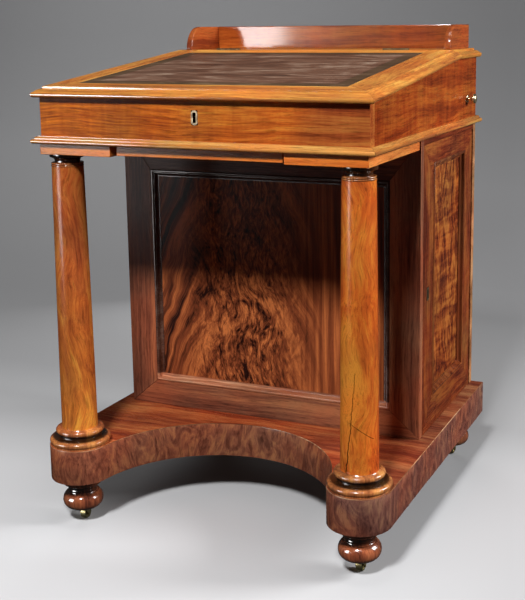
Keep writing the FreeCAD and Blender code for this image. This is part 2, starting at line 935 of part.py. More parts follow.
def inner_drawer(bay):
    """A small drawer: box, front and the peg that pulls it."""
    x = (bay[0] + drawer_gap, bay[1] - drawer_gap)
    first_y = hinge_y + corner_clearance + 1
    y = (first_y + inner_front_thickness, first_y + inner_drawer_depth)
    z = (case_floor_z + drawer_gap / 2, case_floor_z + drawer_gap / 2 + inner_drawer_height)
    front = box(x, (first_y, y[0]), z)
    room = box(
        (x[0] + inner_drawer_wall, x[1] - inner_drawer_wall),
        (y[0], y[1] - inner_drawer_wall),
        (z[0] + inner_drawer_wall, z[1] + 1),
    )
    middle = Vector((x[0] + x[1]) / 2, first_y, (z[0] + z[1]) / 2)
    peg = rod(inner_knob_radius, middle, Vector(0, -inner_knob_projection, 0))
    return [box(x, y, z).cut(room), front, peg]


# ---------------------------------------------------------------- pedestal
def mitred_frame(width, height, stile, top_rail, bottom_rail, thickness):
    """Four frame members, mitred at their corners, lying flat with the show face at Z 0."""
    inner = [
        (stile, bottom_rail),
        (width - stile, bottom_rail),
        (width - stile, height - top_rail),
        (stile, height - top_rail),
    ]
    outer = [(0, 0), (width, 0), (width, height), (0, height)]
    members = []
    for i in range(4):
        j = (i + 1) % 4
        members.append(prism([outer[i], outer[j], inner[j], inner[i]], in_plan(-thickness), up * thickness))
    return members


def frame_moulding(width, height, stile, top_rail, bottom_rail, depth):
    """The moulding mitred round a frame's opening, lying flat with the frame's show face at Z 0."""
    reach = panel_moulding_width
    bead = panel_bead
    profile = [
        (0, 0),
        (reach, 0),
        (reach, bead / 2),
        (reach - bead / 2, bead / 2),
        (2 * bead, depth - bead / 2),
        (2 * bead, depth),
        (1.5 * bead, depth + bead / 2),
        (bead / 2, depth + bead / 2),
        (0, depth),
    ]
    tall = depth + bead
    open_width = width - 2 * stile
    open_height = height - top_rail - bottom_rail
    bars = []
    corners = [
        (stile, bottom_rail, 0, open_width),
        (width - stile, bottom_rail, 90, open_height),
        (width - stile, height - top_rail, 180, open_width),
        (stile, height - top_rail, 270, open_height),
    ]
    for x, y, turn, length in corners:
        bar = mitred_bar(profile, length, reach, tall, -1, -1)
        bar.rotate(Vector(), up, turn)
        bars.append(bar.translated(Vector(x, y, -depth)))
    return bars


def panel_flat(width, height, stile, top_rail, bottom_rail, depth):
    """The panel that fills a frame's opening, depth below the show face."""
    x = (stile, width - stile)
    y = (bottom_rail, height - top_rail)
    return box(x, y, (-depth - panel_thickness, -depth))


pedestal_height = case_underside_z - platform_top_z
front_sizes = (case_width, pedestal_height, front_stile, front_top_rail, front_bottom_rail)
side_sizes = (
    pedestal_inner_back_y - pedestal_inner_front_y,
    pedestal_height,
    side_stile,
    side_top_rail,
    side_bottom_rail,
)
door_sizes = (
    pedestal_inner_back_y - pedestal_inner_front_y - 2 * door_gap,
    door_top_z - door_bottom_z,
    side_stile - door_gap,
    side_top_rail - pedestal_top_thickness - door_gap,
    side_bottom_rail - 2 * door_gap,
)
panel_depth = frame_thickness - panel_thickness


def as_front(shape):
    corner = Vector(-half_case, pedestal_front_y, platform_top_z)
    return upright(shape, corner, Vector(1, 0, 0), Vector(0, -1, 0))


def as_left(shape):
    corner = Vector(-half_case, pedestal_inner_back_y, platform_top_z)
    return upright(shape, corner, Vector(0, -1, 0), Vector(-1, 0, 0))


def as_back(shape):
    corner = Vector(half_case, back_y, platform_top_z)
    return upright(shape, corner, Vector(-1, 0, 0), Vector(0, 1, 0))


def as_door(shape):
    corner = Vector(half_case, pedestal_inner_front_y + door_gap, door_bottom_z)
    return upright(shape, corner, Vector(0, 1, 0), Vector(1, 0, 0))


def pedestal_front_frame():
    """The front frame, its right stile mortised for the door's bolt."""
    bolt_room = door_lock_bolt(corner_clearance / 5).translated(Vector(0, -lock_bolt_throw - 1, 0))
    return [as_front(m).cut(bolt_room) for m in mitred_frame(*front_sizes, frame_thickness)]


def pedestal_front_panel():
    return as_front(panel_flat(*front_sizes, panel_depth))


def pedestal_left_frame():
    return [as_left(m) for m in mitred_frame(*side_sizes, frame_thickness)]


def pedestal_left_panel():
    return as_left(panel_flat(*side_sizes, panel_depth))


def pedestal_back():
    """A plain framed panel closes the back."""
    members = mitred_frame(*front_sizes, frame_thickness) + [panel_flat(*front_sizes, panel_depth)]
    return [as_back(m) for m in members]


def pedestal_mouldings():
    front = [as_front(b) for b in frame_moulding(*front_sizes, panel_depth)]
    left = [as_left(b) for b in frame_moulding(*side_sizes, panel_depth)]
    return front + left


def pedestal_top():
    """The board over the cupboard, which reaches over the door and holds its upper pivot."""
    z = (case_underside_z - pedestal_top_thickness, case_underside_z)
    board = box((-pedestal_inner_x, half_case), (pedestal_inner_front_y, pedestal_inner_back_y), z)
    return board.cut(pivot_plate(z[0]))


def pedestal_bottom():
    """The cupboard's floor, against which the door closes, notched round the lower pivot."""
    z = (platform_top_z, platform_top_z + pedestal_bottom_thickness)
    right = door_inner_x - lid_gap
    board = box((-pedestal_inner_x, right), (pedestal_inner_front_y, pedestal_inner_back_y), z)
    notch = rod(door_thickness, Vector(door_axis_x, door_axis_y, z[0]), up * pedestal_bottom_thickness)
    return board.cut(notch)


def pedestal_shelves():
    """Two shelves, each on a batten along the front and the back."""
    pieces = []
    x = (-pedestal_inner_x, door_inner_x - shelf_setback)
    y = (pedestal_inner_front_y, pedestal_inner_back_y)
    for height in shelf_heights:
        z = platform_top_z + height
        pieces.append(box(x, y, (z, z + shelf_thickness)))
        pieces.append(box(x, (y[0], y[0] + shelf_batten), (z - shelf_batten, z)))
        pieces.append(box(x, (y[1] - shelf_batten, y[1]), (z - shelf_batten, z)))
    return pieces


# ---------------------------------------------------------------- door
def door_frame():
    """The door's frame, its rear edge rounded about the pivots and the lock let into its front stile."""
    members = [as_door(m) for m in mitred_frame(*door_sizes, door_thickness)]
    half = door_thickness / 2
    z = (door_bottom_z, door_top_z)
    square = box((door_axis_x, half_case + 1), (door_axis_y, pedestal_inner_back_y), z)
    round_edge = rod(half, Vector(door_axis_x, door_axis_y, z[0]), up * (z[1] - z[0]))
    waste = square.cut(round_edge)
    cuts = [
        waste,
        door_lock_body(),
        keyhole(door_keyhole, Vector(-door_thickness, 0, 0)),
        pivot_plate(door_bottom_z),
        pivot_plate(door_top_z - pivot_plate_thickness),
    ]
    return [m.cut(cuts) for m in members]


def door_panel():
    return as_door(panel_flat(*door_sizes, panel_depth))


def door_moulding():
    return [as_door(b) for b in frame_moulding(*door_sizes, panel_depth)]


def pivot_plate(z):
    """A flat pivot plate from z up, running forward from the door's axis."""
    half = pivot_plate_width / 2
    y = (door_axis_y - pivot_plate_length, door_axis_y + half)
    return box((door_axis_x - half, door_axis_x + half), y, (z, z + pivot_plate_thickness))


def door_pivots():
    """The plates let into the door's bottom and top edges, each with its pin."""
    low = Vector(door_axis_x, door_axis_y, door_bottom_z)
    high = Vector(door_axis_x, door_axis_y, door_top_z)
    reach = up * pivot_pin_length
    return [
        pivot_plate(door_bottom_z).fuse(rod(pivot_pin_radius, low, -reach)),
        pivot_plate(door_top_z - pivot_plate_thickness).fuse(rod(pivot_pin_radius, high, reach)),
    ]


def door_pivot_sockets():
    """The plates let into the platform and the pedestal's top board, bored for the pins."""
    sockets = []
    depth = up * pivot_plate_thickness
    for z in (platform_top_z - pivot_plate_thickness, case_underside_z - pedestal_top_thickness):
        bore = rod(pivot_pin_radius + running_fit, Vector(door_axis_x, door_axis_y, z), depth)
        sockets.append(pivot_plate(z).cut(bore))
    return sockets


# ---------------------------------------------------------------- writing the pieces
pieces = {
    "platform_top": [platform_top()],
    "platform_front": [platform_front()],
    "platform_sides": platform_sides() + foot_blocks(),
    "platform_back": [platform_back()],
    "bun_feet": [bun_foot(*spot) for spot in foot_spots.values()],
    "caster_plates": [caster_plate(*spot) for spot in foot_spots.values()],
    "column_bases": [column_base(-column_x), column_base(column_x)],
    "column_shafts": [column_shaft(-column_x), column_shaft(column_x)],
    "column_capitals": [capital(-column_x), capital(column_x)],
    "bearers": bearers(),
    "apron_rail": [apron_rail()],
    "case_front": [case_front()],
    "case_side_left": [case_side()],
    "case_side_right": [case_side_right()],
    "case_back": [case_back()],
    "case_bottom": [case_bottom()],
    "case_moulding": case_moulding(),
    "top_strip": [top_strip()],
    "gallery_back": [gallery_back()],
    "gallery_ends": [mirrored(gallery_end()), gallery_end()],
    "lid_board": [lid_board()],
    "writing_leather": [writing_leather()],
    "lid_hinge_leaves": lid_hinge_leaves(),
    "strip_hinge_leaves": strip_hinge_leaves(),
    "lid_lock_strike": [lid_lock_strike()],
    "desk_lock": [desk_lock()],
    "desk_lock_bolt": [desk_lock_bolt()],
    "desk_escutcheon": [escutcheon(desk_keyhole, Vector(0, -1, 0))],
    "pen_drawer": pen_drawer(),
    "pen_drawer_knob": [pen_drawer_knob()],
    "pen_drawer_housing": pen_drawer_housing(),
    "pigeonhole_rack": pigeonhole_rack(),
    "inner_drawer_left": inner_drawer(drawer_bay_edges()[0]),
    "inner_drawer_right": inner_drawer(drawer_bay_edges()[1]),
    "pedestal_front_frame": pedestal_front_frame(),
    "pedestal_front_panel": [pedestal_front_panel()],
    "pedestal_left_frame": pedestal_left_frame(),
    "pedestal_left_panel": [pedestal_left_panel()],
    "pedestal_back": pedestal_back(),
    "pedestal_mouldings": pedestal_mouldings(),
    "pedestal_top": [pedestal_top()],
    "pedestal_bottom": [pedestal_bottom()],
    "pedestal_shelves": pedestal_shelves(),
    "door_frame": door_frame(),
    "door_panel": [door_panel()],
    "door_moulding": door_moulding(),
    "door_lock": [door_lock()],
    "door_lock_bolt": [door_lock_bolt()],
    "door_escutcheon": [escutcheon(door_keyhole, Vector(1, 0, 0))],
    "door_pivots": door_pivots(),
    "door_pivot_sockets": door_pivot_sockets(),
}
for corner, spot in foot_spots.items():
    pieces["caster_fork_" + corner] = [caster_fork(*spot)]
    pieces["caster_wheel_" + corner] = [caster_wheel(*spot)]

os.makedirs("parts", exist_ok=True)
for name, shapes in pieces.items():
    solids = [solid for shape in shapes for solid in shape.Solids]
    shape = solids[0] if len(solids) == 1 else Part.makeCompound(solids)
    shape.exportStep("parts/" + name + ".step")
    print(name, len(solids), "solids", "valid" if shape.isValid() else "NOT VALID")
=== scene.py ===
import math

import bmesh
import bpy
from mathutils import Matrix, Vector


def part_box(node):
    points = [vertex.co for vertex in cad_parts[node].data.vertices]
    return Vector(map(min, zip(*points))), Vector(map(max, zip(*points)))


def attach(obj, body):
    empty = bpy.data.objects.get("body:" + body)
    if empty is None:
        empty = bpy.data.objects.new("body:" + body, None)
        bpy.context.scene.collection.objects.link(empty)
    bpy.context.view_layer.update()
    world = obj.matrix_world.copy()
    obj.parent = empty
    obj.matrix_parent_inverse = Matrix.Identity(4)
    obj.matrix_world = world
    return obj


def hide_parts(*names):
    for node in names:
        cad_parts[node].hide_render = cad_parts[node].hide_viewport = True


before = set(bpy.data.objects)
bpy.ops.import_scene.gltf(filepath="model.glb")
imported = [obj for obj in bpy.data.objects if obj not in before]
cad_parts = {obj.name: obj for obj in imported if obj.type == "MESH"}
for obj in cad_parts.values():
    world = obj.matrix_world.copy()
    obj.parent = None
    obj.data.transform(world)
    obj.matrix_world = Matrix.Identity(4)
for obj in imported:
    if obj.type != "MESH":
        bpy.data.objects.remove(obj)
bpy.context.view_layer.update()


# ---------------- platform: the serpentine plinth
# A hollow plinth. Its front is one concave sweep that runs into a round drum at each corner. The walls wear
# a burr veneer of mahogany, and the top board's grain runs across the desk.

class Flow:
    """A value on its way through a node tree, so that sums on it are written as plain sums."""

    def __init__(self, socket):
        self.socket, self.tree = socket, socket.id_data

    __add__ = lambda self, other: calc("ADD", self, other)
    __sub__ = lambda self, other: calc("SUBTRACT", self, other)
    __rsub__ = lambda self, other: calc("SUBTRACT", other, self)
    __mul__ = lambda self, other: calc("MULTIPLY", self, other)
    __truediv__ = lambda self, other: calc("DIVIDE", self, other)
    __lt__ = lambda self, other: calc("LESS_THAN", self, other)
    __gt__ = lambda self, other: calc("GREATER_THAN", self, other)
    __abs__ = lambda self: calc("ABSOLUTE", self)


def add(tree, kind, sockets=(), **settings):
    """One node with its settings. A socket is given a plain value or a flow."""
    node = tree.nodes.new(kind)
    for name, value in settings.items():
        setattr(node, name, value)
    for key, value in dict(sockets).items():
        if isinstance(value, Flow):
            tree.links.new(value.socket, node.inputs[key])
        else:
            node.inputs[key].default_value = value
    return node


def flow(tree, kind, sockets=(), output=0, **settings):
    """What comes out of one new node."""
    return Flow(add(tree, kind, sockets, **settings).outputs[output])


def tree_of(values):
    """The node tree that the flows among the values belong to."""
    return next(value.tree for value in values if isinstance(value, Flow))


def calc(operation, *values):
    """The result of one sum, done on vectors as soon as one of the values is a vector."""
    if any(value.socket.type in ("VECTOR", "RGBA") if isinstance(value, Flow) else
           not isinstance(value, (int, float)) for value in values):
        kind = "ShaderNodeVectorMath"
        values = [(value,) * 3 if isinstance(value, (int, float)) else value for value in values]
    else:
        kind = "ShaderNodeMath"
    return flow(tree_of(values), kind, enumerate(values), operation=operation)


def together(*numbers):
    """Up to three numbers as one vector."""
    return flow(tree_of(numbers), "ShaderNodeCombineXYZ", enumerate(numbers))


def apart(vector):
    """A vector's three numbers."""
    return [Flow(number) for number in add(vector.tree, "ShaderNodeSeparateXYZ", {0: vector}).outputs]


def blend(start, end, share):
    """From start, as far towards end as the share says."""
    return (end - start) * share + start


def ramp(factor, stops):
    """Colours blended along a factor: each stop is its place and its colour."""
    node = add(factor.tree, "ShaderNodeValToRGB", {"Fac": factor})
    for i, (place, colour) in enumerate(stops):
        stop = node.color_ramp.elements[i] if i < 2 else node.color_ramp.elements.new(place)
        stop.position = place
        stop.color = (*colour, 1)
    return Flow(node.outputs[0])


def spread(factor, low, high, to_low=0.0, to_high=1.0):
    """The factor stretched from low..high to to_low..to_high, and held there."""
    return flow(factor.tree, "ShaderNodeMapRange", {
        "Value": factor, "From Min": low, "From Max": high, "To Min": to_low, "To Max": to_high})


def noise(place, scale=1.0, detail=2.0, roughness=0.5, distortion=0.0, output="Fac"):
    """Smooth noise at a place."""
    return flow(place.tree, "ShaderNodeTexNoise", {"Vector": place, "Scale": scale, "Detail": detail,
                                                   "Roughness": roughness, "Distortion": distortion}, output)


def blank_material(name):
    """A material without nodes, its tree, and the place on the desk that its patterns follow."""
    material = bpy.data.materials.new(name)
    material.use_nodes = True
    tree = material.node_tree
    tree.nodes.clear()
    return material, tree, flow(tree, "ShaderNodeTexCoord", output="Object")


def shader(tree, sockets):
    """The surface shader, joined to the material's output."""
    surface = flow(tree, "ShaderNodeBsdfPrincipled", sockets)
    add(tree, "ShaderNodeOutputMaterial", {"Surface": surface})


def finish_wood(tree, place, colour, fibre, pore, level, polish, coat):
    """The polish over the timber: grime in broad clouds, open pores, and the shader."""
    grime = noise(place, 4.0, 3.0)
    shade = spread(grime, 0.3, 0.6, 0.84, 1.03) * spread(pore, 0, 1, 1, 0.6)
    rough = spread(fibre + grime, 0.7, 1.3, polish - 0.05, polish + 0.09)
    bump = flow(tree, "ShaderNodeBump", {"Strength": 0.22, "Distance": 0.00025, "Height": fibre * 0.35 - pore})
    shader(tree, {"Base Color": colour * shade, "Roughness": rough, "Normal": bump, "Coat Weight": coat,
                  "Coat Roughness": 0.09, "Specular IOR Level": level})


def wood(name, grain, tones, bands=16.0, streak=0.5, wander=0.012, ripple=0.0, burr=0.0, mitre=None, painted_shading=(),
         along="Z", waver=0.0, hollow=None, crack=None, level=0.08, polish=0.24, coat=0.0, seed=0.0):
    """French-polished mahogany. grain is the axis that the fibres follow, tones the dark, middle and light
    colours, bands the colour zones in a metre across the grain, wander how far the fibres wave, ripple the
    cross figure's strength, and burr how far the figure curls. mitre = two (axis, low, high) turns the grain
    at a frame's mitres, the shading stops paint light and shade into the colour by its place along an axis,
    give or take the waver, hollow paints shade, near black, on the inside of a hole, and crack darkens the
    wood along its own course."""
    material, tree, place = blank_material(name)
    spot = dict(zip("XYZ", apart(place)))
    laid, joint = place, None
    if mitre:
        reach = [calc("MINIMUM", spot[axis] - low, high - spot[axis]) for axis, low, high in mitre]
        first, second = (axis for axis, low, high in mitre)
        swapped = {**spot, first: spot[second], second: spot[first]}
        choice = reach[1] > reach[0]
        laid = blend(place, together(*swapped.values()), choice) + choice * (0.0, 0.0, 0.7)
        joint = spread(abs(reach[0] - reach[1]), 0.0002, 0.0008, 0.45, 1)
    moved = laid + (seed * 0.37, seed * 0.61, seed * 0.53)
    curl = noise(moved, 6.0, output="Color")
    sway = [(wander * 0.4 if axis == grain else wander) + burr * 0.06 for axis in "XYZ"]
    swayed = (curl - 0.5) * sway + moved

    def drawn(lengthwise, crosswise):
        return swayed * [lengthwise if axis == grain else crosswise for axis in "XYZ"]

    zone = noise(drawn(1.4 + burr * bands * 0.55, bands), 1.0, 4.0, 0.55, 0.6 + 2.2 * burr)
    line = noise(drawn(9 + burr * 60, bands * 11), 1.0, 5.0, 0.65)
    fibre = noise(drawn(45, 1300))
    pore = spread(noise(drawn(90, 1900), 1.0, 1.0), 0.6, 0.72)
    fleck = spread(noise(drawn(28, 340)), 0.55, 0.7)
    figure = noise(drawn(70, 11), 1.0, 2.0, 0.5, 0.8)
    tone = (line - 0.5) * streak + zone + (figure - 0.5) * ripple
    blush = spread(noise(moved, 7.0, 3.0, 0.6), 0.36, 0.64)
    colour = ramp(tone, zip((0.34, 0.5, 0.66), tones)) * (blush * (-0.14, 0.2, 0.3) + (1.07, 0.9, 0.85))
    # Painted light and shade: the colour is brightened or darkened by its place along one axis.
    if painted_shading:
        low, high = painted_shading[0][0], painted_shading[-1][0]
        height = (blush - 0.5) * waver + spot[along]
        colour = colour * ramp(spread(height, low, high), [((at - low) / (high - low), tint) for at, tint in painted_shading])
    dark = spread(fleck, 0, 1, 1, 0.64)
    if joint:
        dark = dark * joint
    # Painted shade: the inside of a hole is darkened to near black.
    if hollow:
        middle, half = (hollow[0] + hollow[1]) / 2, (hollow[1] - hollow[0]) / 2
        sides = apart(abs(place - middle) - half)
        outside = calc("MAXIMUM", calc("MAXIMUM", sides[0], sides[1]), sides[2])
        dark = dark * spread(outside, 0.0, 0.0001, 0.02, 1)
    if crack:
        dark = dark * crack(*spot.values())
    finish_wood(tree, place, colour * dark, fibre, pore, level, polish, coat)
    return material


# A stop with no painted light or shade.
unshaded = (1.0, 1.0, 1.0)
board_low, board_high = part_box("platform_top")
wall_low, wall_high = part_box("platform_front")
side_x, back_y = board_high.x, board_high.y
front_wall_back, wall_thick = -0.0585, 0.024
# Painted shade: both platform veneers are darkened towards the right end.
platform_skin = wood(
    "crossbanded_veneer", "Z", ((0.17, 0.05, 0.029), (0.32, 0.1, 0.054), (0.49, 0.175, 0.076)), bands=32,
    streak=0.35, ripple=0.1, burr=0.85, wander=0.02, level=0.06, seed=1, along="X", waver=0.1,
    painted_shading=((-side_x, unshaded), (0.15, unshaded), (side_x, (0.64, 0.72, 0.95))))
platform_board = wood(
    "platform_top_veneer", "X", ((0.2, 0.031, 0.013), (0.376, 0.074, 0.024), (0.576, 0.164, 0.05)), bands=30,
    wander=0.03, burr=0.08, level=0.05, seed=2, along="X", waver=0.1,
    painted_shading=((-side_x, unshaded), (0.1, (0.95, 0.95, 1.0)), (side_x, (0.55, 0.72, 1.0))))
hidden_wood = wood("carcase_timber", "X", ((0.22, 0.088, 0.034), (0.37, 0.165, 0.068), (0.52, 0.25, 0.112)),
                   bands=18, streak=0.6, polish=0.55, seed=3)
# The eased top arris is paler: partly wear, partly a painted highlight.
arris_wear_and_highlight = wood("arris_wear_and_highlight", "X", ((0.14, 0.055, 0.024), (0.3, 0.13, 0.06), (0.62, 0.36, 0.2)), bands=12,
                  level=0.2, seed=4)


def new_object(name, mesh, *materials):
    """The mesh as an object at the origin, with its materials."""
    made = bpy.data.objects.new(name, mesh)
    bpy.context.scene.collection.objects.link(made)
    for material in materials:
        mesh.materials.append(material)
    return made


def smooth(mesh, angle=35.0):
    """Smooth shading with the true edges kept sharp."""
    mesh.shade_smooth()
    mesh.set_sharp_from_angle(angle=math.radians(angle))


def level_faces(mesh, least=0.0015):
    """Keeps broad flat faces flat where the edges beside them are eased."""
    for face in mesh.polygons:
        corners = [mesh.vertices[i].co for i in face.vertices]
        rim = sum((a - b).length for a, b in zip(corners, corners[1:] + corners[:1]))
        if face.area > least * rim and sum(abs(part) for part in face.normal) < 1.0001:
            face.use_smooth = False


def poured(bm, mesh):
    """The finished faces go into the mesh, smooth-shaded."""
    bm.to_mesh(mesh)
    bm.free()
    smooth(mesh)


def finished(name, bm, materials):
    """A new piece with its broad faces kept flat."""
    mesh = bpy.data.meshes.new(name)
    poured(bm, mesh)
    level_faces(mesh)
    return new_object(name, mesh, *materials)


def settled(made):
    """The plain mesh that a piece's modifier gives."""
    bpy.context.view_layer.update()
    return bpy.data.meshes.new_from_object(made.evaluated_get(bpy.context.evaluated_depsgraph_get()))


def fitted(made, body, slot_name, *nodes):
    """Fastens a finished piece to its body and hides the nodes that it stands for. slot_name is not used."""
    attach(made, body)
    if nodes:
        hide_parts(*nodes)


def easy_edges(bm, width, pick=lambda edge: True, material=-1, steps=2):
    """Rounds the sharp edges that pick takes."""
    edges = [e for e in bm.edges if len(e.link_faces) == 2 and e.calc_face_angle(0) > 0.5 and pick(e)]
    bmesh.ops.bevel(bm, geom=edges, offset=width, segments=steps, profile=0.5, affect="EDGES",
                    clamp_overlap=True, material=material)


def tree_with(name, inputs):
    """An empty geometry tree, a maker of nodes in it, and what its named inputs bring."""
    tree = bpy.data.node_groups.new(name, "GeometryNodeTree")
    inputs = {"Carrier": "Geometry", **inputs, "Material": "Material"}
    for label, kind in inputs.items():
        tree.interface.new_socket(label, in_out="INPUT", socket_type="NodeSocket" + kind)
    tree.interface.new_socket("Piece", in_out="OUTPUT", socket_type="NodeSocketGeometry")
    given = tree.nodes.new("NodeGroupInput").outputs

    def make(kind, sockets=(), output=0, **settings):
        return flow(tree, "GeometryNode" + kind, sockets, output, **settings)

    return tree, make, {label: Flow(given[label]) for label in inputs}


def close_tree(geometry, material):
    """Ends a geometry tree: real geometry with its material."""
    tree = geometry.tree
    real = flow(tree, "GeometryNodeRealizeInstances", {0: geometry})
    dressed = flow(tree, "GeometryNodeSetMaterial", {0: real, "Material": material})
    add(tree, "NodeGroupOutput", {0: dressed})
    return tree


def gathered(tree, parts):
    """Several geometries as one."""
    node = add(tree, "GeometryNodeJoinGeometry")
    for part in parts:
        tree.links.new(part.socket, node.inputs[0])
    return Flow(node.outputs[0])


def grown(name, tree, points, sizes, place=Matrix()):
    """Runs a geometry tree on a carrier that holds the points, and returns the piece as a plain closed mesh
    with every face outwards."""
    mesh = bpy.data.meshes.new(name)
    mesh.from_pydata([tuple(p) + (0,) * (3 - len(p)) for p in points],
                     [(i, i + 1) for i in range(len(points) - 1)], [])
    carrier = new_object(name + "_carrier", mesh)
    modifier = carrier.modifiers.new("grow", "NODES")
    modifier.node_group = tree
    for item in tree.interface.items_tree:
        if item.in_out == "INPUT" and item.name in sizes:
            modifier[item.identifier] = sizes[item.name]
    made = new_object(name, settled(carrier))
    carrier.modifiers.remove(modifier)
    bpy.data.objects.remove(carrier)
    made.data.transform(place)
    bm = bmesh.new()
    bm.from_mesh(made.data)
    bmesh.ops.remove_doubles(bm, verts=bm.verts, dist=0.00001)
    bmesh.ops.dissolve_degenerate(bm, dist=0.00001, edges=bm.edges)
    bmesh.ops.holes_fill(bm, edges=[e for e in bm.edges if e.is_boundary], sides=0)
    bmesh.ops.recalc_face_normals(bm, faces=bm.faces)
    poured(bm, made.data)
    return made


def serpentine_tree():
    """The platform's plan as a rule: two drums and the one arc that touches both, pushed up to a board."""
    sizes = ("Half width", "Drum radius", "Bay depth", "Front", "Back", "Bottom", "Thickness")
    tree, make, given = tree_with("serpentine board", dict.fromkeys(sizes, "Float"))
    half, drum, bay, front, back, bottom, thickness = (given[size] for size in sizes)
    column = half - drum
    radius = (bay * bay + column * column - bay * drum * 2.0) / (bay * 2.0)
    bay_y, drum_y = front + bay - radius, front + drum
    lean = calc("ARCTAN2", drum_y - bay_y, column)

    def arc(size, start, sweep, x, y, steps):
        curve = make("CurveArc", {"Resolution": steps, "Radius": size, "Start Angle": start, "Sweep Angle": sweep})
        return make("Transform", {0: curve, "Translation": together(x, y)})

    parts = [arc(drum, lean - math.pi, math.pi - lean, column, drum_y, 40),
             arc(drum, -math.pi, math.pi - lean, column * -1.0, drum_y, 40),
             arc(radius, lean, math.pi - lean * 2.0, 0.0, bay_y, 96)]
    corners = [together(half * side, y) for side in (1.0, -1.0) for y in (drum_y, back)]
    for start, end in ((0, 1), (2, 3), (1, 3)):
        parts.append(make("CurvePrimitiveLine", {"Start": corners[start], "End": corners[end]}))
    wire = make("CurveToMesh", {0: gathered(tree, parts)})
    welded = make("MergeByDistance", {0: wire, "Distance": 0.00002})
    ring = make("MeshToCurve", {0: welded})
    plan = make("FillCurve", {0: ring}, mode="NGONS")
    pushed = make("ExtrudeMesh", {0: plan, "Offset": (0.0, 0.0, 1.0), "Offset Scale": thickness, "Individual": False})
    underside = make("FlipFaces", {0: plan})
    lifted = make("Transform", {0: gathered(tree, [underside, pushed]), "Translation": together(0.0, 0.0, bottom)})
    return close_tree(lifted, given["Material"])


serpentine = serpentine_tree()


def serpentine_board(name, low, high, back):
    """A board of the platform's plan, between two heights."""
    return grown(name, serpentine, [(0, 0)], {
        "Half width": side_x, "Drum radius": 0.0535, "Bay depth": 0.234, "Front": board_low.y, "Back": back,
        "Bottom": low.z, "Thickness": high.z - low.z, "Material": platform_skin})


def dress_platform(made, level, width, materials):
    """Eases one outer edge of a platform board. Its materials are for the walls, the level top and the edge."""
    bm = bmesh.new()
    bm.from_mesh(made.data)
    bmesh.ops.dissolve_limit(bm, angle_limit=0.01, verts=bm.verts, edges=bm.edges)
    easy_edges(bm, width, lambda e: all(abs(v.co.z - level) < 0.0001 for v in e.verts), material=2)
    bm.normal_update()
    made.data.materials.clear()
    for material in materials:
        made.data.materials.append(material)
    for face in bm.faces:
        if face.material_index != 2:
            face.material_index = int(face.normal.z > 0.95)
    poured(bm, made.data)
    for face in made.data.polygons:
        if abs(face.normal.z) > 0.999:
            face.use_smooth = False


platform_top = serpentine_board("platform_top_board", board_low, board_high, back_y)
platform_front = serpentine_board("platform_front_wall", wall_low, wall_high, front_wall_back)
dress_platform(platform_top, board_high.z, 0.0009, (platform_skin, platform_board, arris_wear_and_highlight))
dress_platform(platform_front, wall_low.z, 0.0012, (platform_skin, hidden_wood, platform_skin))
fitted(platform_top, "desk", "platform_veneer", "platform_top")
fitted(platform_front, "desk", "platform_veneer", "platform_front")


def planks(name, blocks, materials, edge=0.0005):
    """Boards in one piece: each block is its low and high corner."""
    bm = bmesh.new()
    for low, high in blocks:
        corners = [bm.verts.new((x, y, z)) for x in (low[0], high[0]) for y in (low[1], high[1])
                   for z in (low[2], high[2])]
        for ring in ((0, 1, 3, 2), (4, 6, 7, 5), (0, 4, 5, 1), (2, 3, 7, 6), (0, 2, 6, 4), (1, 5, 7, 3)):
            bm.faces.new([corners[i] for i in ring])
    bmesh.ops.recalc_face_normals(bm, faces=bm.faces)
    if edge:
        easy_edges(bm, edge)
    return finished(name, bm, materials)


def wall_high_blocks(*plans):
    """Blocks as high as the platform's walls, from (low x, high x, low y, high y)."""
    return [((plan[0], plan[2], wall_low.z), (plan[1], plan[3], wall_high.z)) for plan in plans]


inside_x = side_x - wall_thick
platform_walls = planks("platform_side_walls", wall_high_blocks(
    (inside_x, side_x, front_wall_back, back_y), (-side_x, -inside_x, front_wall_back, back_y),
    (-inside_x, inside_x, back_y - wall_thick, back_y)), [platform_skin], 0.0)
fitted(platform_walls, "desk", "platform_veneer", "platform_sides", "platform_back")
block_near, block_far, block_front = 0.2285, 0.2925, 0.238
foot_blocks = planks("rear_foot_blocks", wall_high_blocks(
    (block_near, block_far, block_front, block_far), (-block_far, -block_near, block_front, block_far)),
    [hidden_wood])
fitted(foot_blocks, "desk", "inner_wood")


# ---------------- feet: four turned buns
# Solid mahogany, turned on a lathe: a disc under the platform, a hollow neck and a squat bun, all french
# polished. Each is dowelled into the platform and carries a brass caster.

def lathe_tree():
    """Spins the carrier's outline (radius, height) round the upright axis, once at each spot."""
    tree, make, given = tree_with("lathe", {"Segments": "Int", "Spots": "Object"})
    outline, segments = given["Carrier"], given["Segments"]
    count = make("AttributeDomainSize", {0: outline}, "Point Count")
    grid = make("MeshGrid", {"Vertices X": segments + 1.0, "Vertices Y": count})
    index = make("InputIndex")
    angle = calc("FLOOR", index / count) * (2 * math.pi) / segments
    radius, height = apart(make("SampleIndex", {0: outline, "Value": make("InputPosition"), "Index": calc(
        "MODULO", index, count)}, data_type="FLOAT_VECTOR"))[:2]
    place = together(radius * calc("COSINE", angle), radius * calc("SINE", angle), height)
    spun = make("SetPosition", {0: grid, "Position": place})
    welded = make("MergeByDistance", {0: spun, "Distance": 0.00001})
    spots = make("ObjectInfo", {0: given["Spots"]}, "Geometry")
    return close_tree(make("InstanceOnPoints", {0: spots, "Instance": welded}), given["Material"])


def rounded(points, steps=7):
    """An outline from plain points (a, b) and quarter rounds (a, b, centre a, centre b) that end there."""
    made = []
    for point in points:
        if len(point) == 2:
            made.append(Vector(point))
            continue
        end, centre = Vector(point[:2]), Vector(point[2:])
        start = made[-1] - centre
        sweep = start.angle_signed(end - centre)
        for i in range(1, steps + 1):
            turn = -sweep * i / steps
            ratio = 1 + ((end - centre).length / start.length - 1) * i / steps
            made.append(centre + Matrix.Rotation(turn, 2) @ start * ratio)
    return [tuple(p) for p in made]


lathe = lathe_tree()


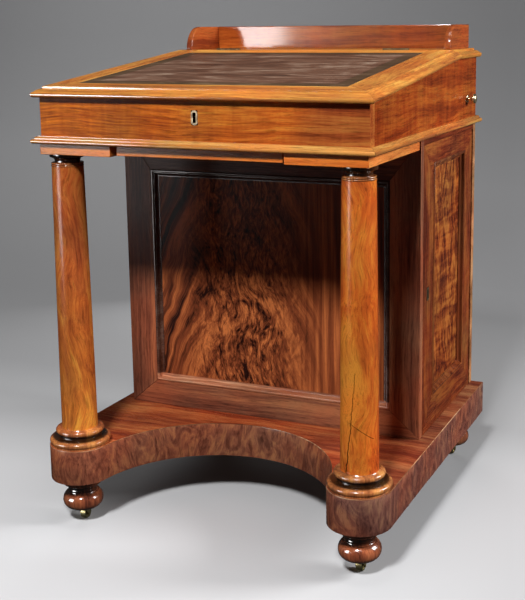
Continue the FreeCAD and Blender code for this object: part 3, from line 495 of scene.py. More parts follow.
def turned(name, outline, spots, material, segments=64, place=Matrix()):
    """A turned piece at each of the spots."""
    points = bpy.data.meshes.new(name + "_spots")
    points.from_pydata(spots, [], [])
    marks = new_object(name + "_spots", points)
    made = grown(name, lathe, outline, {"Segments": segments, "Spots": marks, "Material": material}, place)
    bpy.data.objects.remove(marks)
    return made


# Painted shade: the neck and the disc under the platform are darkened, nearly black in the neck.
turned_wood = wood("turned_mahogany", "Z", ((0.123, 0.034, 0.019), (0.326, 0.096, 0.042), (0.539, 0.179, 0.073)),
                   bands=26, streak=0.6, level=0.5, polish=0.13, coat=1.0, seed=5, waver=0.004,
                   painted_shading=((0.0535, unshaded), (0.0575, (0.2, 0.2, 0.2)), (0.0675, (0.25, 0.22, 0.2)),
                          (0.072, (0.55, 0.5, 0.5)), (0.084, (0.3, 0.28, 0.28))))
foot_x, foot_front, foot_rear = 0.263, -0.263, 0.2725
foot_spots = [(x, y, 0) for y in (foot_front, foot_rear) for x in (-foot_x, foot_x)]
foot_outline = rounded([
    (0.0, 0.025), (0.0203, 0.025), (0.0353, 0.04, 0.0203, 0.0402), (0.0283, 0.0545, 0.0203, 0.0402),
    (0.0283, 0.0556), (0.0262, 0.0556), (0.0256, 0.0605, 0.0296, 0.0585), (0.0262, 0.069, 0.0335, 0.065),
    (0.0315, 0.07), (0.0345, 0.0732, 0.0315, 0.0732), (0.0345, 0.084), (0.0, 0.084)])
fitted(turned("bun_feet", foot_outline, foot_spots, turned_wood, 72), "desk", "turned_mahogany", "bun_feet")


# ---------------- casters
# Small cast brass casters: a square plate screwed under the bun, a bent fork that swivels on a stem, and a
# solid wheel. The brass has gone green-brown, and is bright only where it rubs.

def brass(name, clean, dull, worn=0.5, rough=0.34, scale=90.0):
    """Old brass: clean metal shows through a dull skin in patches and on fine scratches."""
    material, tree, place = blank_material(name)
    patch, fine = noise(place, scale, 6.0, 0.65), noise(place, scale * 14)
    amount = spread(patch, worn - 0.12, worn + 0.12)
    colour = flow(tree, "ShaderNodeMix", {"Factor": amount, "A": (*clean, 1), "B": (*dull, 1)}, "Result",
                  data_type="RGBA")
    gloss = spread(fine * 0.3 + amount, 0, 1.2, rough - 0.1, rough + 0.2)
    bump = flow(tree, "ShaderNodeBump", {"Strength": 0.3, "Distance": 0.0002, "Height": patch})
    shader(tree, {"Base Color": colour, "Metallic": spread(amount, 0, 1, 1.0, 0.75), "Roughness": gloss,
                  "Normal": bump})
    return material


def repaint(material, *names):
    """Gives carried-over nodes their material."""
    for name in names:
        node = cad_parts[name]
        if not node.material_slots:
            node.data.materials.append(material)
        for slot in node.material_slots:
            slot.material = material


caster_brass = brass("caster_brass", (0.5, 0.4, 0.19), (0.16, 0.15, 0.07), worn=0.47)
corners = ("front_left", "front_right", "rear_left", "rear_right")
repaint(caster_brass, "caster_plates", *["caster_fork_" + corner for corner in corners])
wheel_radius, wheel_half, bore, dish = 0.01, 0.0055, 0.00166, 0.0042
wheel_outline = rounded([
    (bore, -wheel_half), (0.0034, -wheel_half), (0.0038, -dish), (0.0068, -dish), (0.0074, -wheel_half),
    (0.0088, -wheel_half), (wheel_radius, -0.0043, 0.0088, -0.0043), (wheel_radius, 0.0043),
    (0.0088, wheel_half, 0.0088, 0.0043), (0.0074, wheel_half), (0.0068, dish), (0.0038, dish),
    (0.0034, wheel_half), (bore, wheel_half), (bore, -wheel_half)], 4)
lying = Matrix.Rotation(math.radians(90), 4, "Y")
for corner in corners:
    low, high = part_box("caster_wheel_" + corner)
    wheel = turned("wheel_" + corner, wheel_outline, [(0, 0, 0)], caster_brass, 40,
                   Matrix.Translation((low + high) / 2) @ lying)
    fitted(wheel, "wheel_" + corner, "old_brass", "caster_wheel_" + corner)


# ---------------- columns
# A turned column stands on each drum: a ring base whose groove is painted near black as shade, a plain
# tapered shaft of lighter, golden timber with a slight swell, and a small capital whose upper part is painted
# dark as the shadow under the bearer. The left shaft is painted darker towards its top as shade. The right
# shaft has an old drying crack.

base_outline = rounded([
    (0.0, 0.0), (0.0505, 0.0), (0.0505, 0.0028), (0.0529, 0.0068, 0.0487, 0.0072),
    (0.0507, 0.0116, 0.0487, 0.0072), (0.046, 0.0135), (0.0385, 0.0138), (0.0372, 0.0146), (0.0368, 0.02),
    (0.0392, 0.0206), (0.0418, 0.0245, 0.038, 0.0245), (0.0385, 0.0289, 0.038, 0.0245), (0.0328, 0.0292),
    (0.0322, 0.03), (0.0, 0.03)])
capital_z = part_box("column_capitals")[0].z
ring_tones = ((0.2, 0.061, 0.023), (0.455, 0.14, 0.042), (0.74, 0.3, 0.082))
# Painted shade: the groove between the two rings is painted near black.
groove_shade = (0.07, 0.07, 0.07)
base_wood = wood("column_base_timber", "Z", ring_tones, bands=30, level=0.4, polish=0.13, coat=0.6, seed=6,
                 painted_shading=((0.158, unshaded), (0.1596, groove_shade), (0.1642, groove_shade), (0.166, unshaded)))
# Painted shadow: the capital above its astragal is painted dark, the shadow under the bearer.
capital_wood = wood("column_capital_timber", "Z", ring_tones, bands=30, level=0.4, polish=0.13, coat=0.5, seed=6.5,
                    painted_shading=((capital_z + 0.0062, (0.75, 0.7, 0.7)), (capital_z + 0.0078, (0.13, 0.11, 0.1)),
                           (capital_z + 0.022, (0.16, 0.13, 0.12))))


def column_turning(name, outline, z, material):
    """The same turned piece on both columns."""
    made = turned(name, outline, [(-foot_x, foot_front, z), (foot_x, foot_front, z)], material, 96)
    fitted(made, "desk", "turned_mahogany", name)


column_turning("column_bases", base_outline, board_high.z, base_wood)
shaft_low, shaft_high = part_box("column_shafts")
foot_of_shaft, head_of_shaft, swell, shaft_steps = 0.031, 0.0268, 0.0004, 24
shaft_outline = [(0.0, shaft_low.z)]
for i in range(shaft_steps + 1):
    t = i / shaft_steps
    shaft_outline.append((foot_of_shaft + (head_of_shaft - foot_of_shaft) * t ** 1.15 + swell * math.sin(math.pi * t),
                          shaft_low.z + (shaft_high.z - shaft_low.z) * t))
shaft_outline.append((0.0, shaft_high.z))
crack_cosine, crack_sine = 0.919, 0.394


def drying_crack(x, y, z):
    """A long crack with a short side branch down the shaft's front, which is turned 23 degrees to the right:
    1 on sound wood, dark in the crack."""
    east, north = x - foot_x, y - foot_front
    across, front = east * crack_cosine + north * crack_sine, east * crack_sine - north * crack_cosine
    wave = (noise(together(0.0, 0.0, z), 34.0, 5.0, 0.7) - 0.5) * 0.011
    course = spread(z, 0.16, 0.34, -0.0235, -0.008) + wave
    main = (abs(across - course) < spread(z, 0.16, 0.34, 0.0009, 0.0004)) * (z < 0.341)
    slip = abs(z - (across * -0.71 + 0.2478 + wave * 0.4))
    branch = (slip < 0.0006) * (across > -0.017) * (across < 0.021)
    return 1.0 - calc("MAXIMUM", main, branch) * (front > 0.0) * 0.88


# Painted shade: the left shaft is darkened towards its top, under the box.
left_shaft_wood = wood(
    "left_shaft_timber", "Z", ((0.374, 0.097, 0.024), (0.675, 0.223, 0.04), (0.95, 0.479, 0.074)), bands=17,
    wander=0.08, burr=0.12, polish=0.2, coat=0.06, seed=7.3, waver=0.08,
    painted_shading=((0.17, (1.0, 1.0, 0.9)), (0.3, (0.88, 0.78, 0.8)), (0.5, (0.78, 0.5, 0.7)), (0.6, (0.62, 0.38, 0.52)),
           (0.69, (0.6, 0.5, 0.6))))
right_shaft_wood = wood(
    "right_shaft_timber", "Z", ((0.335, 0.053, 0.012), (0.577, 0.115, 0.017), (0.796, 0.248, 0.031)), bands=15,
    wander=0.08, burr=0.15, polish=0.2, coat=0.06, seed=8.1, crack=drying_crack)
for name, x, timber in (("left", -foot_x, left_shaft_wood), ("right", foot_x, right_shaft_wood)):
    shaft = turned("column_shaft_" + name, shaft_outline, [(x, foot_front, 0)], timber, 96)
    fitted(shaft, "desk", "turned_mahogany", "column_shafts")
capital_outline = rounded([
    (0.0, 0.0), (0.0262, 0.0), (0.0274, 0.0015, 0.026, 0.0015), (0.0262, 0.003, 0.026, 0.0015),
    (0.0258, 0.0034), (0.0273, 0.0049, 0.0258, 0.0049), (0.0255, 0.0064, 0.0258, 0.0049), (0.0222, 0.0066),
    (0.0215, 0.0074), (0.0215, 0.01), (0.0255, 0.0145, 0.0265, 0.0096), (0.0292, 0.016), (0.0295, 0.0166),
    (0.0295, 0.022), (0.0, 0.022)])
column_turning("column_capitals", capital_outline, capital_z, capital_wood)


# ---------------- bearers and apron rail
# Two boards run front to back from the pedestal and lie on the capitals; the apron rail closes the front
# between them. All are screwed up under the box, and their front edges are lipped with lighter veneer.

rail_wood = wood("rail_timber", "X", ((0.425, 0.099, 0.018), (0.725, 0.198, 0.031), (0.925, 0.33, 0.054)), bands=30,
                 seed=9)
side_rail_wood = wood("bearer_timber", "Y", ((0.34, 0.088, 0.024), (0.646, 0.192, 0.042), (0.884, 0.32, 0.075)),
                      bands=30, seed=10)
bearer_low, bearer_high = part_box("bearers")
bearer_width, bearer_proud, apron_proud, apron_gap = 0.137, 0.005, 0.003, 0.0025
bearer_front = bearer_low.y - bearer_proud
bearers = planks("bearer_boards", [
    ((bearer_high.x - bearer_width, bearer_front, bearer_low.z), bearer_high),
    ((bearer_low.x, bearer_front, bearer_low.z), (bearer_low.x + bearer_width, bearer_high.y, bearer_high.z))],
    [side_rail_wood, rail_wood], 0.0009)
for face in bearers.data.polygons:
    face.material_index = int(face.center.y < bearer_low.y)
fitted(bearers, "desk", "case_veneer", "bearers")
apron_low, apron_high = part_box("apron_rail")
apron = planks("apron_rail", [(apron_low + Vector((apron_gap, -apron_proud, 0.0)),
                               apron_high - Vector((apron_gap, 0.0, 0.0)))], [rail_wood], 0.0008)
fitted(apron, "desk", "case_veneer", "apron_rail")


# ---------------- pedestal: framed cupboard under the box
# The front and the left side are frames with a sunk panel, veneered in dark mahogany. The frames' members
# meet in mitres, and a small moulding is mitred round each opening. The front panel is a crotch figure.

def push_out(bm, face, way):
    """Gives a flat face its thickness."""
    pushed = bmesh.ops.extrude_face_region(bm, geom=[face])["geom"]
    bmesh.ops.translate(bm, vec=way, verts=[v for v in pushed if isinstance(v, bmesh.types.BMVert)])


def loop_path(box):
    """Round a box (low a, low b, high a, high b) so that its inside lies to the left of travel."""
    return [(box[0], box[1]), (box[2], box[1]), (box[2], box[3]), (box[0], box[3])]


def frame_members(name, outer, opening, place, materials, thickness=0.016, gap=0.00025):
    """Four mitred members round an opening, drawn flat with the show face at Z 0."""
    bm = bmesh.new()
    out, inside = ([Vector((*p, 0)) for p in loop_path(box)] for box in (outer, opening))
    for i in range(4):
        j = (i + 1) % 4
        shift = (out[j] - out[i]).normalized() * gap
        ring = (out[i] + shift, out[j] - shift, inside[j] - shift, inside[i] + shift)
        face = bm.faces.new([bm.verts.new(p) for p in ring])
        face.material_index = i % 2
        push_out(bm, face, (0, 0, -thickness))
    bmesh.ops.recalc_face_normals(bm, faces=bm.faces)
    easy_edges(bm, 0.0004, steps=1)
    bmesh.ops.transform(bm, matrix=place, verts=bm.verts)
    return finished(name, bm, materials)


def moulding_tree():
    """Runs the carrier's section along a path in the XY plane, with a true mitre at every corner. The path
    has one more point at each end, which only gives the direction."""
    tree, make, given = tree_with("mitred run", {"Path": "Object"})
    section = given["Carrier"]
    path = make("ObjectInfo", {0: given["Path"]}, "Geometry")
    count, length = (make("AttributeDomainSize", {0: part}, "Point Count") for part in (section, path))
    grid = make("MeshGrid", {"Vertices X": length - 2.0, "Vertices Y": count})
    index, position = make("InputIndex"), make("InputPosition")
    station = calc("FLOOR", index / count)

    def sampled(geometry, number):
        return make("SampleIndex", {0: geometry, "Value": position, "Index": number}, data_type="FLOAT_VECTOR")

    before, here, after = (sampled(path, station + float(i)) for i in range(3))
    sides = [calc("NORMALIZE", calc("CROSS_PRODUCT", end - start, (0, 0, 1)))
             for start, end in ((before, here), (here, after))]
    agreement = flow(tree, "ShaderNodeVectorMath", enumerate(sides), "Value", operation="DOT_PRODUCT")
    outward, rise = apart(sampled(section, calc("MODULO", index, count)))[:2]
    place = here + (sides[0] + sides[1]) / (agreement + 1.0) * outward + together(0.0, 0.0, rise)
    laid = make("SetPosition", {0: grid, "Position": place})
    return close_tree(laid, given["Material"])


mitred_run = moulding_tree()


def moulding(name, section, path, material, place=Matrix(), loop=False):
    """A moulding along a path: section points are (outward to the right of travel, upward)."""
    points = [Vector((*p, 0)) for p in path]
    if loop:
        points = [points[-1], *points, points[0], points[1]]
    else:
        points = [2 * points[0] - points[1], *points, 2 * points[-1] - points[-2]]
    mesh = bpy.data.meshes.new(name + "_path")
    mesh.from_pydata(points, [(i, i + 1) for i in range(len(points) - 1)], [])
    track = new_object(name + "_path", mesh)
    made = grown(name, mitred_run, section + section[:1], {"Path": track, "Material": material}, place)
    bpy.data.objects.remove(track)
    return made


def joined(name, parts):
    """Several made pieces as one mesh, their materials kept."""
    bm = bmesh.new()
    materials = []
    for part in parts:
        first = len(bm.faces)
        bm.from_mesh(part.data)
        bm.faces.ensure_lookup_table()
        for face in bm.faces[first:]:
            own = part.data.materials[face.material_index]
            if own not in materials:
                materials.append(own)
            face.material_index = materials.index(own)
    mesh = bpy.data.meshes.new(name)
    poured(bm, mesh)
    for part in parts:
        bpy.data.objects.remove(part)
    return new_object(name, mesh, *materials)


def standing(corner, right, outward):
    """Stands a flat drawing up: its X along right, its Y up and its Z outward."""
    place = Matrix((right, (0, 0, 1), outward)).transposed().to_4x4()
    place.translation = corner
    return place


def cut_out(made, *boxes):
    """Cuts pockets, given by their corners, out of a finished piece."""
    for box in boxes:
        corners = list(zip(*made.bound_box))
        if any(box[0][i] > max(corners[i]) or box[1][i] < min(corners[i]) for i in range(3)):
            continue
        tool = planks("pocket", [box], [], 0.0)
        cutter = made.modifiers.new("pocket", "BOOLEAN")
        cutter.operation, cutter.solver, cutter.object = "DIFFERENCE", "EXACT", tool
        mesh = settled(made)
        made.modifiers.clear()
        made.data = mesh
        bpy.data.objects.remove(tool)
        smooth(mesh)
    return made


panel_low, panel_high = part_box("pedestal_front_panel")
pedestal_low, pedestal_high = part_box("pedestal_front_frame")
half_case = pedestal_high.x
front_place = standing((0, pedestal_low.y, 0), (1, 0, 0), (0, -1, 0))
dark_tones = ((0.13, 0.04, 0.024), (0.28, 0.09, 0.046), (0.46, 0.16, 0.07))
front_stile_wood = wood("front_stile_veneer", "Z", dark_tones, bands=26, streak=0.6, level=0.02, seed=11)
front_rail_wood = wood("front_rail_veneer", "X", dark_tones, bands=26, streak=0.6, level=0.02, seed=12)


def crotch(name, tones, seam, seed):
    """A crotch veneer: long arcs on the left, curled figure at the seam, and plain upright grain on the right."""
    material, tree, place = blank_material(name)
    x, y, z = apart(place)
    drift = noise(place + (seed, seed, seed), 7.0, 3.0) - 0.5
    across = drift * 0.06 + (x - seam)
    height = across * across * 9.0 + z

    def field(sideways, upward, *settings):
        return noise(together(sideways, seed, upward), *settings)

    arcs = field(across * 7.0, height * 17.0, 1.0, 5.0, 0.62, 0.5)
    streaks = field(across * 22.0, height * 150.0, 1.0, 4.0, 0.6, 0.3)
    plain = field(x * 95.0, z * 3.0, 1.0, 5.0, 0.6, 0.3)
    curls = field(across * 44.0, z * 17.0, 1.0, 6.0, 0.7, 2.2)
    feathers = field(across * 120.0, z * 36.0, 1.0, 3.0, 0.6, 1.6)
    specks = spread(field(x * 210.0, z * 120.0, 1.0, 3.0, 0.6, 1.0), 0.57, 0.7)
    seam_zone = spread(abs(across - 0.01), 0.045, 0.135, 1.0, 0.0)
    away = blend((streaks - 0.5) * 0.3 + arcs, (plain - 0.5) * 0.6 + 0.53, spread(across, 0.07, 0.17))
    tone = ((feathers - 0.5) * 0.7 + curls - away) * 0.8 * seam_zone + away
    colour = ramp(tone, zip((0.37, 0.5, 0.65), tones)) * (1.0 - specks * seam_zone * 0.45)
    fibre = field(x * 1300.0, z * 45.0)
    pore = spread(field(x * 1900.0, z * 90.0, 1.0, 1.0), 0.6, 0.72)
    finish_wood(tree, place, colour, fibre, pore, 0.015, 0.26, 0.0)
    return material


crotch_wood = crotch("crotch_panel_veneer", ((0.022, 0.007, 0.005), (0.26, 0.062, 0.022), (0.72, 0.21, 0.06)),
                     -0.062, 13.0)
# Painted light: the bottom bead of each pedestal panel is painted pale as a highlight, the beads above it dark as
# painted shade.
bead_wood_painted_light = wood("pedestal_bead_timber", "X", ((0.3, 0.1, 0.05), (0.56, 0.22, 0.11), (0.85, 0.46, 0.28)),
                      bands=40, level=0.15, polish=0.2, seed=14, painted_shading=(
                          (panel_low.z, unshaded), (panel_low.z + 0.0125, unshaded),
                          (panel_low.z + 0.0145, (0.2, 0.18, 0.2)), (panel_low.z + 0.2, (0.12, 0.1, 0.12))))
front_opening = (panel_low.x, panel_low.z, panel_high.x, panel_high.z)
front_frame = frame_members("pedestal_front_frame", (-half_case, pedestal_low.z, half_case, pedestal_high.z),
                            front_opening, front_place, (front_rail_wood, front_stile_wood))
bolt_low, bolt_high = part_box("door_lock_bolt")
bolt_play, bolt_throw = 0.0004, 0.0075
cut_out(front_frame, (bolt_low - Vector((bolt_play, bolt_throw, bolt_play)),
                      bolt_high + Vector((bolt_play, 0.0, bolt_play))))
level_faces(front_frame.data)
fitted(front_frame, "desk", "pedestal_veneer", "pedestal_front_frame")


def sunk_panel(name, low, high, material, body, slot_name):
    """A flat panel that stands for the node of its name."""
    fitted(planks(name, [(low, high)], [material], 0.0), body, slot_name, name)


sunk_panel("pedestal_front_panel", panel_low, panel_high, crotch_wood, "desk", "pedestal_veneer")
sunk = 0.008
panel_section = rounded([
    (0.0, -sunk), (0.0, 0.0), (-0.0006, 0.0009, -0.0015, -0.0003), (-0.0052, 0.0006, -0.0028, -0.0012),
    (-0.0052, -0.0008), (-0.0064, -0.0008), (-0.0118, -0.0062, -0.0118, -0.0008), (-0.0118, -0.007),
    (-0.013, -0.007), (-0.013, -sunk)], 5)


def panel_moulding(name, opening, material, place):
    """The small moulding, mitred round a panel's opening."""
    return moulding(name, panel_section, loop_path(opening), material, place, loop=True)


front_beads = panel_moulding("front_panel_moulding", front_opening, bead_wood_painted_light, front_place)
left_low, left_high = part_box("pedestal_left_panel")
left_frame_low, left_frame_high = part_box("pedestal_left_frame")
left_place = standing((left_frame_low.x, 0, 0), (0, -1, 0), (-1, 0, 0))
left_opening = (-left_high.y, left_low.z, -left_low.y, left_high.z)
left_beads = panel_moulding("left_panel_moulding", left_opening, bead_wood_painted_light, left_place)
fitted(joined("pedestal_mouldings", [front_beads, left_beads]), "desk", "moulding_mahogany", "pedestal_mouldings")

side_tones = ((0.089, 0.016, 0.008), (0.191, 0.04, 0.014), (0.31, 0.095, 0.023))
side_stile_wood = wood("side_stile_veneer", "Z", side_tones, bands=24, streak=0.6, ripple=0.2, level=0.05, seed=15)
side_rail_veneer = wood("side_rail_veneer", "Y", side_tones, bands=24, streak=0.6, level=0.05, seed=16)
flame_wood = wood("door_panel_veneer", "Z", ((0.076, 0.014, 0.008), (0.228, 0.049, 0.014), (0.456, 0.148, 0.032)),
                  bands=38, streak=0.7, ripple=0.5, wander=0.05, burr=0.35, level=0.05, seed=17)
left_frame = frame_members(
    "pedestal_left_frame", (-left_frame_high.y, left_frame_low.z, -left_frame_low.y, left_frame_high.z),
    left_opening, left_place, (side_rail_veneer, side_stile_wood))
fitted(left_frame, "desk", "pedestal_veneer", "pedestal_left_frame")
sunk_panel("pedestal_left_panel", left_low, left_high, flame_wood, "desk", "pedestal_veneer")
repaint(side_rail_veneer, "pedestal_top")
repaint(hidden_wood, "pedestal_back", "pedestal_bottom", "pedestal_shelves")


# ---------------- cupboard door
# The right side opens: a mitred frame with a flame-figured panel. It turns on brass pivots let into its
# bottom and top rear corners, and locks at the front stile.

door_low, door_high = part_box("door_frame")
door_panel_low, door_panel_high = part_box("door_panel")
door_place = standing((door_high.x, 0, 0), (0, 1, 0), (1, 0, 0))
keyhole_low, keyhole_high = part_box("door_escutcheon")
# Painted shade: the inside of the keyhole is darkened to near black.
door_wood = wood("door_frame_veneer", "Y", side_tones, bands=26, streak=0.7, ripple=0.2, burr=0.1, level=0.05,
                 seed=18, mitre=(("Y", door_low.y, door_high.y), ("Z", door_low.z, door_high.z)),
                 hollow=(keyhole_low - Vector((0.03, 0.0, 0.0)), keyhole_high))
repaint(door_wood, "door_frame")
sunk_panel("door_panel", door_panel_low, door_panel_high, flame_wood, "door", "door_veneer")
door_bead_wood = wood("door_bead_timber", "Z", ((0.08, 0.018, 0.008), (0.17, 0.042, 0.014), (0.3, 0.09, 0.026)),
                      bands=40, level=0.2, polish=0.2, coat=0.08, seed=20)
door_beads = panel_moulding("door_moulding", (door_panel_low.y, door_panel_low.z, door_panel_high.y,
                                              door_panel_high.z), door_bead_wood, door_place)
fitted(door_beads, "door", "moulding_mahogany", "door_moulding")
repaint(caster_brass, "door_pivots", "door_pivot_sockets")


# ---------------- sloping box
# The box is of mahogany boards: a front with the lock, two tapering sides, a back and a bottom, with a bead
# and half-round moulding mitred round its lower edge. The pen drawer runs in its right side.

keyhole_low, keyhole_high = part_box("desk_escutcheon")
# Painted light: the box front is painted paler and yellower at the left and darker at the right, and the inside of
# the keyhole near black as shade.
case_front_wood = wood(
    "box_front_veneer", "X", ((0.38, 0.082, 0.011), (0.7, 0.19, 0.018), (0.94, 0.38, 0.033)), bands=26, streak=0.65,
    wander=0.02, ripple=0.15, level=0.01, hollow=(keyhole_low, keyhole_high + Vector((0.0, 0.03, 0.0))), seed=21.7,
    waver=0.1, along="X", painted_shading=((-half_case, (1.0, 0.98, 0.5)), (0.0, (0.77, 0.76, 1.0)),
                                 (half_case, (0.58, 0.4, 0.95))))
case_side_wood = wood("box_side_veneer", "Y", ((0.139, 0.022, 0.006), (0.265, 0.047, 0.009), (0.391, 0.095, 0.015)),
                      bands=18, streak=0.6, wander=0.02, ripple=0.35, level=0.05, seed=22)
repaint(case_front_wood, "case_front")
repaint(case_side_wood, "case_side_left", "case_side_right")
repaint(hidden_wood, "case_back", "case_bottom", "pen_drawer_housing", "pigeonhole_rack", "inner_drawer_left",
        "inner_drawer_right")
case_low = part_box("case_front")[0]
case_back_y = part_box("case_back")[1].y
base_section = rounded([
    (-0.0004, 0.0), (0.0097, 0.0), (0.0135, 0.0038, 0.0097, 0.0038), (0.0097, 0.0076, 0.0097, 0.0038),
    (0.0085, 0.0076), (0.0085, 0.0086), (0.0045, 0.0118, 0.0045, 0.0086), (0.0045, 0.0126), (-0.0004, 0.0126)], 6)
moulding_reach, no_mitre_behind = 0.0135, 9.0
moulding_wood = wood("box_moulding_timber", "X", ((0.34, 0.1, 0.026), (0.56, 0.2, 0.04), (0.76, 0.36, 0.09)),
                     bands=40, streak=0.4, level=0.3, polish=0.17, coat=0.5, seed=23,
                     mitre=(("X", -half_case - moulding_reach, half_case + moulding_reach),
                            ("Y", case_low.y - moulding_reach, no_mitre_behind)))
case_moulding = moulding("box_base_moulding", base_section, [
    (-half_case, case_back_y), (-half_case, case_low.y), (half_case, case_low.y), (half_case, case_back_y)],
    moulding_wood, Matrix.Translation((0, 0, case_low.z)))
fitted(case_moulding, "desk", "moulding_mahogany", "case_moulding")


# ---------------- top strip and gallery
# A fixed board behind the lid with a moulded edge at both ends, and on it a low gallery: a back and two ends
# whose front corners are quarter rounds. The timber is orange-brown, its grain along the boards.

edge_section = rounded([
    (-0.0005, 0.0), (0.0104, 0.0), (0.0152, 0.0048, 0.0104, 0.0048), (0.0112, 0.0095, 0.0104, 0.0048),
    (0.0078, 0.0118), (0.004, 0.0131), (0.0004, 0.0137), (0.0, 0.0141), (0.0, 0.0165),
    (-0.0005, 0.017, -0.0005, 0.0165)], 6)
edge_step, overlap = 0.0152, 0.0005
strip_low, strip_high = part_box("top_strip")
strip_step_x = strip_high.x - edge_step
board_wood = wood("strip_timber", "X", ((0.28, 0.07, 0.018), (0.48, 0.14, 0.028), (0.64, 0.25, 0.05)), bands=22,
                  seed=24)
end_grain_wood = wood("strip_end_timber", "Y", ((0.36, 0.1, 0.02), (0.56, 0.2, 0.034), (0.72, 0.34, 0.06)),
                      bands=34, level=0.25, polish=0.17, coat=0.3, seed=29)
hinge_y, strip_top_z, barrel_half, leaf_half = 0.1725, strip_high.z, 0.0262, 0.0255
hinge_rooms = []
for x in (-0.175, 0.175):
    hinge_rooms.append(((x - barrel_half, hinge_y - 0.0033, strip_top_z - 0.0027),
                        (x + barrel_half, hinge_y + 0.0033, strip_top_z + 0.0039)))
    for near, far in ((-0.0016, -0.0004), (0.0004, 0.0016)):
        hinge_rooms.append(((x - leaf_half, hinge_y + near, strip_top_z - 0.013),
                            (x + leaf_half, hinge_y + far, strip_top_z + 0.0006)))
strip_parts = [planks("strip_core", [((overlap - strip_step_x, strip_low.y, strip_low.z),
                                      (strip_step_x - overlap, strip_high.y, strip_high.z))], [board_wood], 0.0)]
for x, ends in ((-strip_step_x, (strip_high.y, strip_low.y)), (strip_step_x, (strip_low.y, strip_high.y))):
    strip_parts.append(moulding("strip_end", edge_section, [(x, y) for y in ends], end_grain_wood,
                                Matrix.Translation((0, 0, strip_low.z))))
top_strip = joined("top_strip", [cut_out(part, *hinge_rooms) for part in strip_parts])
fitted(top_strip, "desk", "moulding_mahogany", "top_strip")
gallery_wood = wood("gallery_timber", "X", ((0.193, 0.038, 0.009), (0.328, 0.081, 0.014), (0.444, 0.142, 0.024)),
                    bands=24, streak=0.55, ripple=0.1, level=0.2, polish=0.2, coat=0.6, seed=26)
gallery_edge, gallery_thick = 0.0012, 0.012
gallery_back = planks("gallery_back", [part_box("gallery_back")], [gallery_wood], gallery_edge)
fitted(gallery_back, "desk", "moulding_mahogany", "gallery_back")
gallery_end_wood = wood(
    "gallery_end_timber", "Y", ((0.182, 0.034, 0.012), (0.333, 0.07, 0.017), (0.454, 0.128, 0.029)), bands=24,
    streak=0.55, level=0.1, polish=0.16, coat=0.25, seed=27)
end_low, end_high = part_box("gallery_ends")
gallery_rise = end_high.z - end_low.z
end_outline = rounded([
    (end_high.y, end_low.z), (end_low.y, end_low.z),
    (end_low.y + gallery_rise, end_high.z, end_low.y + gallery_rise, end_low.z), (end_high.y, end_high.z)], 20)
bm = bmesh.new()
for x in (end_low.x, end_high.x - gallery_thick):
    push_out(bm, bm.faces.new([bm.verts.new((x, y, z)) for y, z in end_outline]), (gallery_thick, 0, 0))
bmesh.ops.recalc_face_normals(bm, faces=bm.faces)
easy_edges(bm, gallery_edge, lambda e: abs(e.verts[0].co.x - e.verts[1].co.x) < 0.0001 or e.calc_face_angle(0) > 1)
fitted(finished("gallery_ends", bm, [gallery_end_wood]), "desk", "moulding_mahogany", "gallery_ends")


# ---------------- lid
# Mahogany boards, hinged to the strip. A small step, a gentle slope and a half round run along the front and
# sides. A sheet of dark leather is let into the top, scuffed grey by use, with a darker tooled border.

lid_low, lid_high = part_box("lid_board")
leather_low, leather_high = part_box("writing_leather")
slope = math.radians(5.9)
lid_place = Matrix.Translation((0, hinge_y, strip_top_z)) @ Matrix.Rotation(slope, 4, "X")
lid_thick = 0.017
lid_step_x = lid_high.x - edge_step
lid_length = (hinge_y - lid_low.y) / math.cos(slope) + lid_thick * math.tan(slope)
lid_tones = ((0.432, 0.124, 0.026), (0.691, 0.258, 0.046), (0.864, 0.429, 0.091))
lid_mitre = (("X", lid_low.x, lid_high.x), ("Y", lid_low.y, no_mitre_behind))
lid_border_wood = wood("lid_border_timber", "X", lid_tones, bands=30, streak=0.65, level=0.15, polish=0.2,
                       coat=0.15, seed=25, mitre=lid_mitre)
lid_edge_wood = wood("lid_edge_timber", "X", lid_tones, bands=40, level=0.5, polish=0.14, coat=0.6, seed=30,
                     mitre=lid_mitre)
lid_rail_wood = wood("lid_rail_timber", "X", lid_tones, bands=30, streak=0.65, level=0.1, seed=31)
leather_half, leather_front, leather_rear, leather_deep = 0.241, 0.053 - lid_length, -0.04, 0.0012
core_x, core_front, rear_end = lid_step_x - overlap, edge_step + overlap - lid_length, 0.01
inner_x = leather_half - 0.0001
lid_parts = [planks(name, [((x_low, y_low, -lid_thick), (x_high, y_high, top))], [timber], 0.0)
             for name, timber, x_low, x_high, y_low, y_high, top in (
                 ("lid_front_border", lid_border_wood, -core_x, core_x, core_front, leather_front, 0.0),
                 ("lid_left_border", lid_border_wood, -core_x, -leather_half, leather_front, rear_end, 0.0),
                 ("lid_right_border", lid_border_wood, leather_half, core_x, leather_front, rear_end, 0.0),
                 ("lid_rear_border", lid_rail_wood, -inner_x, inner_x, leather_rear, rear_end, 0.0),
                 ("lid_middle", lid_rail_wood, -inner_x, inner_x, leather_front, leather_rear, -leather_deep))]
for part in lid_parts:
    part.data.transform(lid_place)
front_step_y = edge_step - lid_length
lid_parts.append(moulding("lid_edge", edge_section, [
    (-lid_step_x, rear_end), (-lid_step_x, front_step_y), (lid_step_x, front_step_y), (lid_step_x, rear_end)],
    lid_edge_wood, lid_place @ Matrix.Translation((0, 0, -lid_thick))))
strike_low, strike_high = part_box("lid_lock_strike")
bolt_low, bolt_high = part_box("desk_lock_bolt")
lid_rooms = [((-1.0, hinge_y - 0.0004, 0.5), (1.0, 0.5, 1.0)), *hinge_rooms,
             (strike_low - Vector((0, 0, 0.004)), strike_high),
             (bolt_low - Vector((0.0003, 0.0003, 0)), bolt_high + Vector((0.0003, 0.0003, bolt_throw)))]
lid_board = joined("lid_board", [cut_out(part, *lid_rooms) for part in lid_parts])
fitted(lid_board, "lid", "moulding_mahogany", "lid_board")


